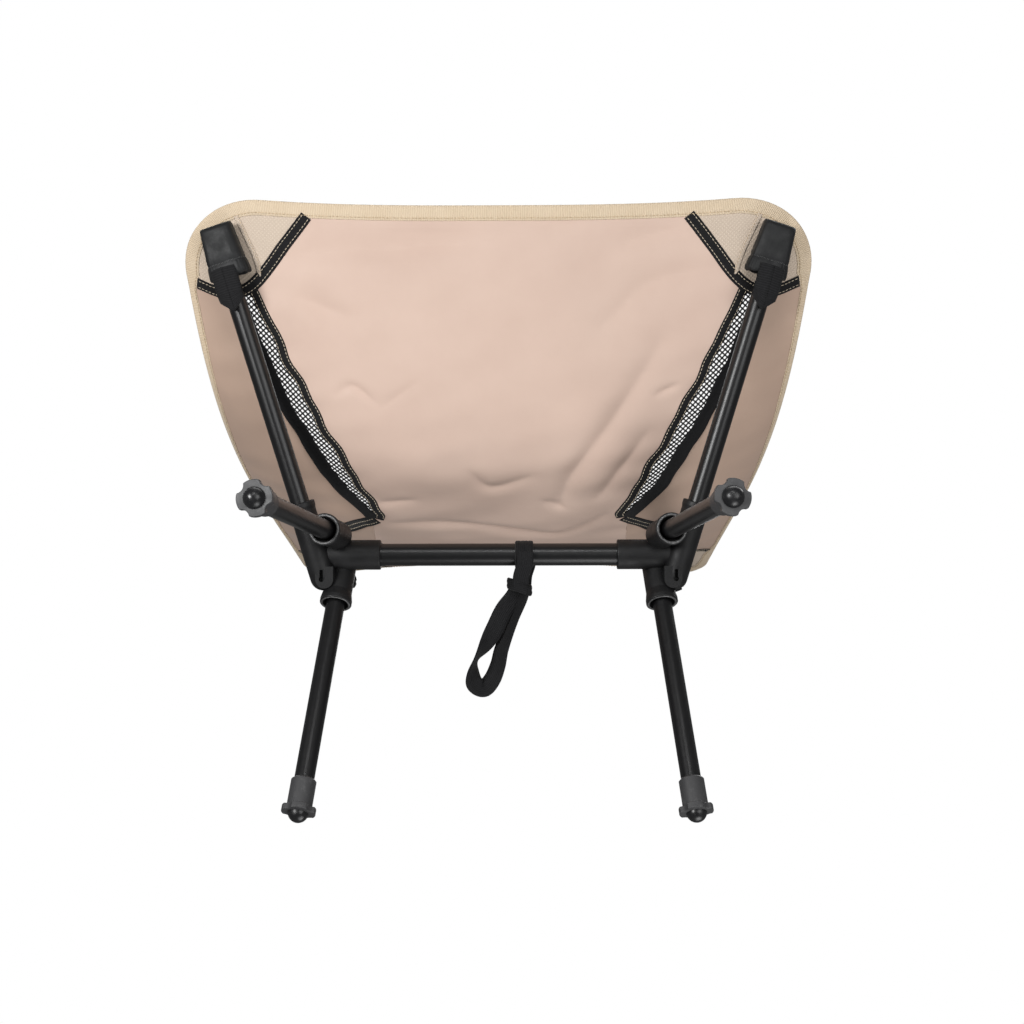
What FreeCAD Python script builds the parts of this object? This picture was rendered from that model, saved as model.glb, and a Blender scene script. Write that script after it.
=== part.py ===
import FreeCAD, Part
import math
import os

from FreeCAD import Placement, Rotation, Vector

# Ultralight backpacking chair: two moulded hubs on a crossbar hold four short legs, two seat
# poles and two back poles, and a sewn sling hangs from the four pole tips.
# Millimetres. +Z is up, the sitter faces -Y, and "left" is the sitter's left, +X.
# The origin is on the ground, under the middle of the chair's box.

os.makedirs("parts", exist_ok=True)

# ---- driving dimensions -------------------------------------------------------------------
CROSSBAR_HEIGHT = 195.8
CROSSBAR_BACK = 17.0
TUBE_RADIUS = 8.0
TUBE_WALL = 1.1
CROSSBAR_RADIUS = 9.5
CROSSBAR_WALL = 1.3
CROSSBAR_HALF_LENGTH = 122.5
CROSSBAR_FREE_HALF = 100.5
FIXED_FIT = 0.05
SLIDING_FIT = 0.08
LEG_INSERTION = 34.0
SOCKET_FLOOR_GAP = 0.3
CORD_RADIUS = 1.5
CORD_PASSAGE_RADIUS = 2.0
KNOT_RADIUS = 4.0

# The left side, from the crossbar's centre: x outwards, y backwards, z up.
SEAT_POLE_ROOT = (156.0, -8.0, -4.5)
SEAT_POLE_TIP = (236.0, -255.0, 95.0)
BACK_POLE_ROOT = (153.3, 16.1, 16.2)
BACK_POLE_TIP = (187.0, 236.0, 378.0)
FRONT_SOCKET_MOUTH = (142.9, -42.4, -34.8)
FRONT_FOOT = (169.1, -145.6, -187.6)
REAR_SOCKET_MOUTH = (138.1, 32.1, -28.1)
REAR_FOOT = (155.9, 128.6, -187.6)
CORD_ANCHOR = (146.0, 0.0, 3.0)
CORD_END_GAP = 1.6

# Hub
BARREL_RADIUS = 11.3
LEG_BARREL_RADIUS = 12.2
LEG_MOUTH_RADIUS = 13.5
LEG_MOUTH_BORE = 10.6
CROSSBAR_BARREL_RADIUS = 12.7
LIP = 1.0
SEAT_COLLAR_REACH = 41.0
BACK_COLLAR_REACH = 30.0
CORE_RADIUS = 14.0
TAB_WIDTH = 15.0
TAB_LENGTH = 18.5
TAB_THICKNESS = 14.0
TAB_TILT = 63.5
TAB_CENTRE = (147.0, 15.5, -10.7)
KEY_SLOT_WIDTH = 2.8
KEY_SLOT_LENGTH = 8.0
KEY_SLOT_DEPTH = 5.0
KEY_HOLE_RADIUS = 2.2
KEY_HOLE_PLACE = (2.4, -1.5)

# Feet, measured along the leg from the ground pad's tip
PAD_RADIUS = 8.2
PAD_PEG_RADIUS = 5.0
FLANGE_LOW = 7.5
FLANGE_THICKNESS = 5.0
FLANGE_RADIUS = 13.6
FLANGE_LOBES = 4
SCOOP_RADIUS = 5.6
SCOOP_DISTANCE = 16.6
FLANGE_EDGE = 1.2
CAP_RADIUS = 10.1
CAP_TOP = 36.0
CAP_FLOOR = 18.0

# Poles
TIP_CAP_LENGTH = 6.0
TIP_PLUG_LENGTH = 14.0
BACK_JOINT_AT = 0.5
FERRULE_LENGTH = 60.0

# Sling: middle line (y, z) and side edge (x, y, z) as cubic curves from front to top
MIDDLE_CURVE = [(-274, 102), (-55, 15), (5, -35), (220, 394)]
SIDE_CURVE = [(272, -283, 119), (247, -57, 54), (232, -25, 118), (220, 246, 402)]
SIDE_RISE = 3.0
PANEL_THICKNESS = 1.0
SLING_CORNER_RADIUS = 58.0
BINDING_WIDTH = 12.0
BINDING_WRAP = 1.0
BINDING_GAP = 0.12
BINDING_THICKNESS = 0.8
TAPE_WIDTH = 10.0
TAPE_LOW = -1.05
TAPE_HIGH = -0.2
SLING_STEPS = 24

# Sling seams, as (share of the way from front to top, share of the half width)
CORNER_ALONG = 0.115
POCKET_ACROSS = 0.79
DIAGONAL_ACROSS = 0.573
SEAT_STRIP_END = (0.575, 0.44)
BACK_STRIP_END = (0.66, 0.46)
BELT_ALONG = 0.64
STRIP_BULGE = 0.085

POCKET_TIP_WIDTH = 29.0
POCKET_MOUTH_WIDTH = 35.0
POCKET_DEPTH = 18.4
POCKET_LENGTH = 44.0
POCKET_PAST_TIP = 5.0
POCKET_INWARD = 2.0
PULL_WIDTH = 13.0
PULL_LENGTH = 30.0
PULL_THICKNESS = 1.5

# Hang strap, on the crossbar
STRAP_X = 21.0
STRAP_WIDTH = 16.0
STRAP_THICKNESS = 2.0
STRAP_LEAN = 20.0
STRAP_DROP = 26.5
STRAP_NECK = 34.0
STRAP_KNOT = (20.0, 12.0, 12.0)
STRAP_LOOP_LENGTH = 88.0
STRAP_LOOP_WIDTH = 32.0

SIDES = {"left": 1, "right": -1}
X_AXIS = Vector(1, 0, 0)
Y_AXIS = Vector(0, 1, 0)
Z_AXIS = Vector(0, 0, 1)
ORIGIN = Vector(0, 0, 0)


# ---- helpers ------------------------------------------------------------------------------
def at(point):
    """A point given from the crossbar's centre, in the chair's frame."""
    x, y, z = point
    return Vector(x, y + CROSSBAR_BACK, z + CROSSBAR_HEIGHT)


def along(start, end, distance):
    """The point at a distance from start, on the line to end."""
    return start + (end - start).normalize() * distance


def save(name, shape):
    if shape.Volume < 0:
        shape.reverse()
    shape.exportStep("parts/" + name + ".step")


def save_both(name, shape):
    """The left piece as it is, and its mirror image as the right one."""
    save(name + "_left", shape)
    save(name + "_right", shape.mirror(ORIGIN, X_AXIS))


def rod(start, end, radius):
    axis = end - start
    return Part.makeCylinder(radius, axis.Length, start, axis)


def tube(start, end, radius, wall):
    return rod(start, end, radius).cut(rod(start, end, radius - wall))


def frame_along(base, direction, reference):
    """A placement with local Z along direction and local X nearest to reference."""
    z_dir = Vector(direction).normalize()
    x_dir = reference - z_dir * reference.dot(z_dir)
    x_dir = x_dir.normalize()
    y_dir = z_dir.cross(x_dir)
    rotation = Rotation(x_dir, y_dir, z_dir, "ZXY")
    return Placement(base, rotation)


def revolve_profile(wire_edges):
    """A solid turned from a profile in the XZ plane, about Z."""
    face = Part.Face(Part.Wire(wire_edges))
    return face.revolve(ORIGIN, Z_AXIS, 360)


def line(a, b):
    return Part.LineSegment(Vector(a[0], 0, a[1]), Vector(b[0], 0, b[1])).toShape()


def arc(a, middle, b):
    points = [Vector(p[0], 0, p[1]) for p in (a, middle, b)]
    return Part.Arc(*points).toShape()


def quarter(centre, radius, angle):
    """A point of a round edge, in a profile plane."""
    radians = math.radians(angle)
    return (centre[0] + radius * math.cos(radians), centre[1] + radius * math.sin(radians))


# ---- feet and legs ------------------------------------------------------------------------
def foot_cap():
    """Moulded cap with its lobed flange, tip of the ground pad at z = 0, leg upwards."""
    flange_top = FLANGE_LOW + FLANGE_THICKNESS
    flange = Part.makeCylinder(FLANGE_RADIUS, FLANGE_THICKNESS, Vector(0, 0, FLANGE_LOW))
    for index in range(FLANGE_LOBES):
        angle = math.radians((index + 0.5) * 360 / FLANGE_LOBES)
        centre = Vector(math.cos(angle), math.sin(angle), 0) * SCOOP_DISTANCE
        scoop_low = centre + Vector(0, 0, FLANGE_LOW - 1)
        flange = flange.cut(Part.makeCylinder(SCOOP_RADIUS, FLANGE_THICKNESS + 2, scoop_low))
    upright = [e for e in flange.Edges if abs(e.tangentAt(e.FirstParameter).z) > 0.9]
    flange = flange.makeFillet(FLANGE_EDGE, upright)
    rims = [e for e in flange.Edges if abs(e.tangentAt(e.FirstParameter).z) < 0.1]
    flange = flange.makeFillet(FLANGE_EDGE / 2, rims)
    chamfer = 1.4
    barrel = revolve_profile([
        line((0, FLANGE_LOW + 1), (CAP_RADIUS - 0.4, FLANGE_LOW + 1)),
        line((CAP_RADIUS - 0.4, FLANGE_LOW + 1), (CAP_RADIUS, flange_top)),
        line((CAP_RADIUS, flange_top), (CAP_RADIUS, CAP_TOP - chamfer)),
        line((CAP_RADIUS, CAP_TOP - chamfer), (CAP_RADIUS - chamfer, CAP_TOP)),
        line((CAP_RADIUS - chamfer, CAP_TOP), (0, CAP_TOP)),
        line((0, CAP_TOP), (0, FLANGE_LOW + 1)),
    ])
    cap = flange.fuse(barrel)
    bore_height = CAP_TOP - CAP_FLOOR + 1
    cap = cap.cut(Part.makeCylinder(TUBE_RADIUS + FIXED_FIT, bore_height, Vector(0, 0, CAP_FLOOR)))
    peg_hole = Part.makeCylinder(PAD_PEG_RADIUS + FIXED_FIT, 8, Vector(0, 0, FLANGE_LOW - 1))
    return cap.cut(peg_hole)


def foot_pad():
    """Domed ground pad with the peg that holds it in the cap."""
    ball = Part.makeSphere(PAD_RADIUS, Vector(0, 0, PAD_RADIUS))
    keep = Part.makeCylinder(2 * PAD_RADIUS, FLANGE_LOW)
    peg = Part.makeCylinder(PAD_PEG_RADIUS, 6, Vector(0, 0, FLANGE_LOW - 0.5))
    return ball.common(keep).fuse(peg).removeSplitter()


def build_leg(name, mouth_point, foot_point):
    mouth = at(mouth_point)
    ball_centre = at(foot_point)
    tip = along(ball_centre, mouth, -PAD_RADIUS)
    inner_end = along(mouth, tip, -LEG_INSERTION)
    place = frame_along(tip, mouth - tip, Z_AXIS)
    cap = foot_cap()
    cap.Placement = place
    pad = foot_pad()
    pad.Placement = place
    tube_end = along(tip, mouth, CAP_FLOOR)
    save_both(name + "_foot", cap)
    save_both(name + "_foot_pad", pad)
    save_both(name + "_leg", tube(tube_end, inner_end, TUBE_RADIUS, TUBE_WALL))
    save_both(name + "_leg_cord", rod(along(tip, mouth, CAP_FLOOR + 0.5), inner_end, CORD_RADIUS))


# ---- hubs ---------------------------------------------------------------------------------
def barrel(mouth, inward, length, radius, mouth_radius, flare):
    """A socket's outer body: rounded lip, flare, straight barrel and a ball at its inner end."""
    neck = 4.0
    edges = [
        line((0, 0), (mouth_radius - LIP, 0)),
        arc((mouth_radius - LIP, 0), quarter((mouth_radius - LIP, LIP), LIP, -45), (mouth_radius, LIP)),
        line((mouth_radius, LIP), (mouth_radius, neck)),
    ]
    corner = (mouth_radius, neck)
    if flare > 0:
        edges.append(line(corner, (radius, neck + flare)))
        corner = (radius, neck + flare)
    edges.append(line(corner, (radius, length)))
    edges.append(arc((radius, length), quarter((0, length), radius, 45), (0, length + radius)))
    edges.append(line((0, length + radius), (0, 0)))
    body = revolve_profile(edges)
    body.Placement = frame_along(mouth, inward, Z_AXIS)
    return body


def leg_bore(mouth, foot):
    """The leg's blind hole, with its wide mouth."""
    funnel = 7.0
    inner_end = along(mouth, foot, -LEG_INSERTION - SOCKET_FLOOR_GAP)
    hole = rod(along(mouth, foot, 2), inner_end, TUBE_RADIUS + SLIDING_FIT)
    outward = (foot - mouth).normalize()
    cone_base = mouth - outward * funnel
    cone = Part.makeCone(TUBE_RADIUS + SLIDING_FIT, LEG_MOUTH_BORE, funnel, cone_base, outward)
    return hole.fuse(cone)


def key_tab():
    """D-shaped tab with a sunk face, before its key slot is cut."""
    half = TAB_WIDTH / 2
    round_at = TAB_LENGTH / 2 - half
    top = TAB_LENGTH / 2
    corners = [Vector(-half, -round_at, 0), Vector(-half, top, 0), Vector(half, top, 0)]
    corners.append(Vector(half, -round_at, 0))
    edges = [Part.LineSegment(corners[i], corners[i + 1]).toShape() for i in range(3)]
    bottom = Vector(0, -round_at - half, 0)
    edges.append(Part.Arc(corners[3], bottom, corners[0]).toShape())
    return Part.Face(Part.Wire(edges)).extrude(Vector(0, 0, TAB_THICKNESS))


def key_slot():
    """The slot and the round hole at its lower end, cut through the tab's face."""
    low = TAB_THICKNESS - KEY_SLOT_DEPTH
    hole_x, hole_y = KEY_HOLE_PLACE
    hole = Part.makeCylinder(KEY_HOLE_RADIUS, KEY_SLOT_DEPTH + 1, Vector(hole_x, hole_y, low))
    corner = Vector(hole_x - KEY_SLOT_WIDTH / 2, hole_y, low)
    slot = Part.makeBox(KEY_SLOT_WIDTH, KEY_SLOT_LENGTH, KEY_SLOT_DEPTH + 1, corner)
    return hole.fuse(slot)


def tab_place():
    """Where the tab's own frame sits: its face looks down and forwards."""
    rotation = Rotation(X_AXIS, 180 - (90 - TAB_TILT))
    return Placement(at(TAB_CENTRE), rotation)


def build_hub():
    crossbar_mouth = at((CROSSBAR_FREE_HALF, 0, 0))
    seat_root = at(SEAT_POLE_ROOT)
    seat_tip = at(SEAT_POLE_TIP)
    back_root = at(BACK_POLE_ROOT)
    back_tip = at(BACK_POLE_TIP)
    front_mouth = at(FRONT_SOCKET_MOUTH)
    front_foot = at(FRONT_FOOT)
    rear_mouth = at(REAR_SOCKET_MOUTH)
    rear_foot = at(REAR_FOOT)
    anchor = at(CORD_ANCHOR)

    seat_mouth = along(seat_root, seat_tip, SEAT_COLLAR_REACH)
    back_mouth = along(back_root, back_tip, BACK_COLLAR_REACH)
    core = Part.makeSphere(CORE_RADIUS, anchor)
    bodies = [
        barrel(crossbar_mouth, X_AXIS, 44, CROSSBAR_BARREL_RADIUS, CROSSBAR_BARREL_RADIUS, 0),
        barrel(seat_mouth, seat_root - seat_mouth, 66, BARREL_RADIUS, BARREL_RADIUS + 0.7, 3),
        barrel(back_mouth, back_root - back_mouth, 40, BARREL_RADIUS, BARREL_RADIUS + 0.7, 3),
        barrel(front_mouth, front_mouth - front_foot, 44, LEG_BARREL_RADIUS, LEG_MOUTH_RADIUS, 5),
        barrel(rear_mouth, rear_mouth - rear_foot, 44, LEG_BARREL_RADIUS, LEG_MOUTH_RADIUS, 7),
    ]
    tab = key_tab()
    tab.Placement = tab_place()
    hub = core
    for body in bodies + [tab]:
        hub = hub.fuse(body)
    slot = key_slot()
    slot.Placement = tab_place()
    crossbar_end = at((CROSSBAR_HALF_LENGTH, 0, 0))
    cuts = [
        rod(crossbar_mouth - X_AXIS, crossbar_end, CROSSBAR_RADIUS + FIXED_FIT),
        rod(seat_root, along(seat_mouth, seat_tip, 1), TUBE_RADIUS + FIXED_FIT),
        rod(back_root, along(back_mouth, back_tip, 1), TUBE_RADIUS + FIXED_FIT),
        leg_bore(front_mouth, front_foot),
        leg_bore(rear_mouth, rear_foot),
        slot,
        Part.makeSphere(KNOT_RADIUS + 0.3, anchor),
    ]
    for end in cord_ends():
        cuts.append(rod(anchor, end, CORD_PASSAGE_RADIUS))
    for cut in cuts:
        hub = hub.cut(cut)
    save_both("hub", hub.removeSplitter())


def cord_ends():
    """Where the four elastic cords leave the knot's passages: the floors of the sockets."""
    front_mouth = at(FRONT_SOCKET_MOUTH)
    rear_mouth = at(REAR_SOCKET_MOUTH)
    floor_depth = LEG_INSERTION + SOCKET_FLOOR_GAP
    return [
        along(front_mouth, at(FRONT_FOOT), -floor_depth),
        along(rear_mouth, at(REAR_FOOT), -floor_depth),
        at(SEAT_POLE_ROOT),
        at(BACK_POLE_ROOT),
    ]


def build_hub_cord():
    anchor = at(CORD_ANCHOR)
    knot = Part.makeSphere(KNOT_RADIUS, anchor)
    for end in cord_ends():
        knot = knot.fuse(rod(anchor, along(end, anchor, CORD_END_GAP), CORD_RADIUS))
    save_both("hub_cord", knot.removeSplitter())


# ---- crossbar and poles -------------------------------------------------------------------
def build_crossbar():
    ends = [at((side * CROSSBAR_HALF_LENGTH, 0, 0)) for side in (-1, 1)]
    save("crossbar", tube(ends[0], ends[1], CROSSBAR_RADIUS, CROSSBAR_WALL))


def tip_cap(end, direction):
    """Rounded plug: its dome is as wide as the tube, and its stem is pressed inside."""
    edge = 3.0
    stem = TUBE_RADIUS - TUBE_WALL - FIXED_FIT
    profile = [
        line((0, -TIP_PLUG_LENGTH), (stem, -TIP_PLUG_LENGTH)),
        line((stem, -TIP_PLUG_LENGTH), (stem, 0)),
        line((stem, 0), (TUBE_RADIUS, 0)),
        line((TUBE_RADIUS, 0), (TUBE_RADIUS, TIP_CAP_LENGTH - edge)),
        arc((TUBE_RADIUS, TIP_CAP_LENGTH - edge),
            quarter((TUBE_RADIUS - edge, TIP_CAP_LENGTH - edge), edge, 45),
            (TUBE_RADIUS - edge, TIP_CAP_LENGTH)),
        line((TUBE_RADIUS - edge, TIP_CAP_LENGTH), (0, TIP_CAP_LENGTH)),
        line((0, TIP_CAP_LENGTH), (0, -TIP_PLUG_LENGTH)),
    ]
    cap = revolve_profile(profile)
    cap.Placement = frame_along(end, direction, Z_AXIS)
    return cap


def build_poles():
    seat_root = at(SEAT_POLE_ROOT)
    seat_tip = at(SEAT_POLE_TIP)
    seat_end = along(seat_tip, seat_root, TIP_CAP_LENGTH)
    save_both("seat_pole", tube(seat_root, seat_end, TUBE_RADIUS, TUBE_WALL))
    save_both("seat_pole_tip", tip_cap(seat_end, seat_tip - seat_root))

    back_root = at(BACK_POLE_ROOT)
    back_tip = at(BACK_POLE_TIP)
    back_end = along(back_tip, back_root, TIP_CAP_LENGTH)
    joint = back_root + (back_end - back_root) * BACK_JOINT_AT
    inner_radius = TUBE_RADIUS - TUBE_WALL - FIXED_FIT
    ferrule_low = along(joint, back_root, FERRULE_LENGTH / 2)
    ferrule_high = along(joint, back_tip, FERRULE_LENGTH / 2)
    save_both("back_pole_lower", tube(back_root, joint, TUBE_RADIUS, TUBE_WALL))
    save_both("back_pole_upper", tube(joint, back_end, TUBE_RADIUS, TUBE_WALL))
    save_both("back_pole_ferrule", tube(ferrule_low, ferrule_high, inner_radius, TUBE_WALL))
    save_both("back_pole_tip", tip_cap(back_end, back_tip - back_root))

    plug_room = TIP_CAP_LENGTH + TIP_PLUG_LENGTH + 1
    cords = [
        rod(seat_root, along(seat_tip, seat_root, plug_room), CORD_RADIUS),
        rod(back_root, along(back_tip, back_root, plug_room), CORD_RADIUS),
    ]
    save_both("pole_cords", Part.makeCompound(cords))


# ---- sling --------------------------------------------------------------------------------
def cubic(controls, share):
    """A point of a cubic curve through its first and last control points."""
    rest = 1 - share
    weights = [rest ** 3, 3 * rest ** 2 * share, 3 * rest * share ** 2, share ** 3]
    count = len(controls[0])
    return [sum(w * p[i] for w, p in zip(weights, controls)) for i in range(count)]


def sling_point(share, across):
    """The sling's lower face: share runs from front to top, across from -1 to 1."""
    middle_y, middle_z = cubic(MIDDLE_CURVE, share)
    side_x, side_y, side_z = cubic(SIDE_CURVE, share)
    rise = abs(across) ** SIDE_RISE
    y = middle_y + (side_y - middle_y) * rise
    z = middle_z + (side_z - middle_z) * rise
    return at((across * side_x, y, z))


def sling_normal(share, across):
    """The unit normal of the sling's lower face, towards the sitter."""
    step = 0.002
    down = sling_point(share + step, across) - sling_point(share - step, across)
    sideways = sling_point(share, across + step) - sling_point(share, across - step)
    return sideways.cross(down).normalize()


def offset_point(share, across, height):
    return sling_point(share, across) + sling_normal(share, across) * height


def skin(grid):
    surface = Part.BSplineSurface()
    surface.interpolate(grid)
    return surface.toShape()


def closed_sheet(low_grid, high_grid):
    """A solid between two point grids of the same size."""
    low = skin(low_grid)
    high = skin(high_grid)
    faces = [low, high]
    for low_edge, high_edge in zip(low.Edges, high.Edges):
        faces.append(Part.makeRuledSurface(low_edge, high_edge))
    shell = Part.makeShell(faces)
    shell.sewShape()
    solid = Part.makeSolid(Part.Shell(shell.Faces))
    if solid.Volume < 0:
        solid.reverse()
    return solid


def sling_slab(low, high, along_range, across_range):
    """A curved slab on the sling, between two heights above its lower face."""
    grids = []
    for height in (low, high):
        grid = []
        for i in range(SLING_STEPS + 1):
            share = along_range[0] + (along_range[1] - along_range[0]) * i / SLING_STEPS
            row = []
            for j in range(SLING_STEPS + 1):
                across = across_range[0] + (across_range[1] - across_range[0]) * j / SLING_STEPS
                row.append(offset_point(share, across, height))
            grid.append(row)
        grids.append(grid)
    return closed_sheet(grids[0], grids[1])


def corner_cutters(radius, inset):
    """Prisms that round the sling's four corners."""
    cutters = []
    reach = 80.0
    margin = 30.0
    for share, inward in ((0.0, 1), (1.0, -1)):
        normal = sling_normal(share, 0.9)
        corner = sling_point(share, 1.0)
        run = (sling_point(share + inward * 0.02, 1.0) - corner).normalize()
        run = (run - normal * run.dot(normal)).normalize()
        side = (X_AXIS * -1 - normal * normal.dot(X_AXIS * -1)).normalize()
        corner = corner + run * inset + side * inset
        start = corner + side * radius
        end = corner + run * radius
        centre = start + run * radius
        middle = centre + (corner - centre).normalize() * radius
        outermost = corner - side * margin - run * margin
        points = [end, end - side * margin, outermost, start - run * margin, start]
        edges = [Part.LineSegment(points[i], points[i + 1]).toShape() for i in range(4)]
        edges.append(Part.Arc(start, middle, end).toShape())
        face = Part.Face(Part.Wire(edges))
        face.translate(normal * -reach / 2)
        prism = face.extrude(normal * reach)
        cutters.append(prism)
        cutters.append(prism.mirror(ORIGIN, X_AXIS))
    return cutters


def cut_all(shape, cutters):
    for cutter in cutters:
        shape = shape.cut(cutter)
    return shape


def plan_prism(start, sides):
    """An upright prism over a plan outline, closed by a straight side where it needs one.

    Each side is its end point, or a pair of the point it bows through and its end point.
    """
    low = -50.0
    height = 900.0
    edges = []
    last = start
    for side in sides:
        if isinstance(side, tuple):
            through, end = side
            edges.append(Part.Arc(last, through, end).toShape())
        else:
            end = side
            edges.append(Part.LineSegment(last, end).toShape())
        last = end
    if last.distanceToPoint(start) > 0.001:
        edges.append(Part.LineSegment(last, start).toShape())
    face = Part.Face(Part.Wire(edges))
    face.translate(Vector(0, 0, low))
    return face.extrude(Vector(0, 0, height))


def flat(point):
    return Vector(point.x, point.y, 0)


def seam(share, across):
    """A seam point seen in plan."""
    return flat(sling_point(share, across))


def half_seams(mirror_share):
    """Seam points of the seat half, or of the back half when mirror_share is true."""
    def place(share):
        return 1 - share if mirror_share else share

    end_along, end_across = BACK_STRIP_END if mirror_share else SEAT_STRIP_END
    bulge_along = (place(CORNER_ALONG) + end_along) / 2
    bulge_across = (POCKET_ACROSS + end_across) / 2
    return {
        "diagonal": seam(place(0), DIAGONAL_ACROSS),
        "pocket": seam(place(CORNER_ALONG), POCKET_ACROSS),
        "side": seam(place(CORNER_ALONG + 0.005), 1.0),
        "bulge": seam(bulge_along, bulge_across + STRIP_BULGE),
        "hollow": seam(bulge_along, bulge_across),
        "strip_end": seam(end_along, end_across),
    }


def sling_prisms():
    """Plan prisms of the left half's panels."""
    outside = 60.0
    front = half_seams(False)
    back = half_seams(True)
    belt = seam(BELT_ALONG, 1.0) + Vector(outside, 0, 0)
    belt_start = front["strip_end"]
    prisms = {}
    for name, half, ahead in (("seat", front, -1), ("back", back, 1)):
        far = Vector(0, ahead * outside, 0)
        wide = Vector(outside, 0, 0)
        diagonal_out = half["diagonal"] + far
        corner_out = Vector(half["side"].x + outside, diagonal_out.y, 0)
        prisms[name + "_corner"] = plan_prism(
            half["diagonal"],
            [diagonal_out, corner_out, half["side"] + wide, half["side"], half["pocket"]])
        prisms[name + "_mesh"] = plan_prism(
            half["pocket"],
            [(half["bulge"], half["strip_end"]), (half["hollow"], half["pocket"])])
        inner_edge = [(half["bulge"], half["pocket"])]
        if half is back:
            inner_edge.insert(0, half["strip_end"])
        outer_edge = [half["side"], half["side"] + wide, belt]
        prisms[name + "_side"] = plan_prism(belt_start, inner_edge + outer_edge)
    return prisms


def build_sling():
    slab = sling_slab(0, PANEL_THICKNESS, (0, 1), (-1, 1))
    slab = cut_all(slab, corner_cutters(SLING_CORNER_RADIUS, 0))
    centre = slab
    for name, prism in sling_prisms().items():
        panel = slab.common(prism)
        centre = centre.cut(prism)
        centre = centre.cut(prism.mirror(ORIGIN, X_AXIS))
        save_both("sling_" + name, panel)
    save("sling_centre", centre)


def build_binding():
    """Edge binding: a folded tape all round the sling, open towards the panels."""
    length = 640.0
    half_width = SIDE_CURVE[0][0]
    wrap_along = BINDING_WRAP / length
    wrap_across = BINDING_WRAP / half_width
    inner_along = BINDING_WIDTH / length
    inner_across = BINDING_WIDTH / half_width
    outer = sling_slab(
        -BINDING_GAP - BINDING_THICKNESS, PANEL_THICKNESS + BINDING_GAP + BINDING_THICKNESS,
        (-wrap_along, 1 + wrap_along), (-1 - wrap_across, 1 + wrap_across))
    outer = cut_all(outer, corner_cutters(SLING_CORNER_RADIUS, -BINDING_WRAP))
    window_across = (-1 + inner_across, 1 - inner_across)
    window = sling_slab(-6, 8, (inner_along, 1 - inner_along), window_across)
    window = cut_all(window, corner_cutters(SLING_CORNER_RADIUS, BINDING_WIDTH))
    panel = sling_slab(
        -BINDING_GAP, PANEL_THICKNESS + BINDING_GAP, (-0.0002, 1.0002), (-1.0004, 1.0004))
    panel = cut_all(panel, corner_cutters(SLING_CORNER_RADIUS, -0.1))
    binding = outer.cut(window).cut(panel)
    save("sling_binding", binding)


def tape(start, end, width, low, high):
    """A flat tape on the sling's lower face, between two seam points."""
    steps = 12
    grids = []
    for height in (low, high):
        grid = []
        for i in range(steps + 1):
            share = start[0] + (end[0] - start[0]) * i / steps
            across = start[1] + (end[1] - start[1]) * i / steps
            normal = sling_normal(share, across)
            next_share = share + (end[0] - start[0]) * 0.01
            next_across = across + (end[1] - start[1]) * 0.01
            ahead = sling_point(next_share, next_across)
            run = (ahead - sling_point(share, across)).normalize()
            side = normal.cross(run).normalize()
            base = sling_point(share, across) + normal * height
            grid.append([base + side * (width * k / 2) for k in (-1, -0.5, 0, 0.5, 1)])
        grids.append(grid)
    return closed_sheet(grids[0], grids[1])


def build_tapes():
    for name, mirrored in (("seat", False), ("back", True)):
        def place(share):
            return 1 - share if mirrored else share

        runs = [
            ((place(0.022), 0.612), (place(0.098), 0.755)),
            ((place(0.12), 0.85), (place(0.12), 0.945)),
            ((place(0.15), 0.755), (place(0.46), 0.52)),
        ]
        solids = []
        for start, end in runs:
            strip = tape(start, end, TAPE_WIDTH, TAPE_LOW, TAPE_HIGH)
            solids.append(strip)
            solids.append(strip.mirror(ORIGIN, X_AXIS))
        save(name + "_tapes", Part.makeCompound(solids))


def pocket_outline(width, inward, height):
    """A flattened ring across the pole, wide along Y and moved along Y by inward."""
    half = POCKET_DEPTH / 2
    low = inward - width / 2 + half
    high = inward + width / 2 - half
    corners = [Vector(half, low, height), Vector(-half, low, height)]
    corners += [Vector(-half, high, height), Vector(half, high, height)]
    edges = [
        Part.Arc(corners[0], Vector(0, low - half, height), corners[1]).toShape(),
        Part.LineSegment(corners[1], corners[2]).toShape(),
        Part.Arc(corners[2], Vector(0, high + half, height), corners[3]).toShape(),
        Part.LineSegment(corners[3], corners[0]).toShape(),
    ]
    return Part.Wire(edges)


def pocket(tip, root, upward, inward):
    """Sewn sleeve closed over a pole's tip, open and wider towards the hub."""
    outward = (tip - root).normalize()
    base = tip + outward * (POCKET_PAST_TIP - POCKET_LENGTH)
    mouth = pocket_outline(POCKET_MOUTH_WIDTH, inward, 0)
    end = pocket_outline(POCKET_TIP_WIDTH, inward, POCKET_LENGTH)
    body = Part.makeLoft([mouth, end], True, True)
    start = Vector(0, 0, -1)
    depth = POCKET_LENGTH - POCKET_PAST_TIP + 0.3
    hole = Part.makeCylinder(TUBE_RADIUS + 0.3, depth + 1, start)
    sleeve = body.cut(hole)
    sleeve.Placement = frame_along(base, outward, upward)
    return sleeve


def pull(tip, root, upward):
    """Webbing pull, hanging from the pocket's hem below the pole."""
    outward = (tip - root).normalize()
    low = TUBE_RADIUS + 2.0
    start = POCKET_LENGTH + 1.0
    corner = Vector(-low - PULL_THICKNESS, -PULL_WIDTH / 2, -start - PULL_LENGTH)
    strip = Part.makeBox(PULL_THICKNESS, PULL_WIDTH, PULL_LENGTH, corner)
    strip.Placement = frame_along(tip + outward * POCKET_PAST_TIP, outward, upward)
    return strip


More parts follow.
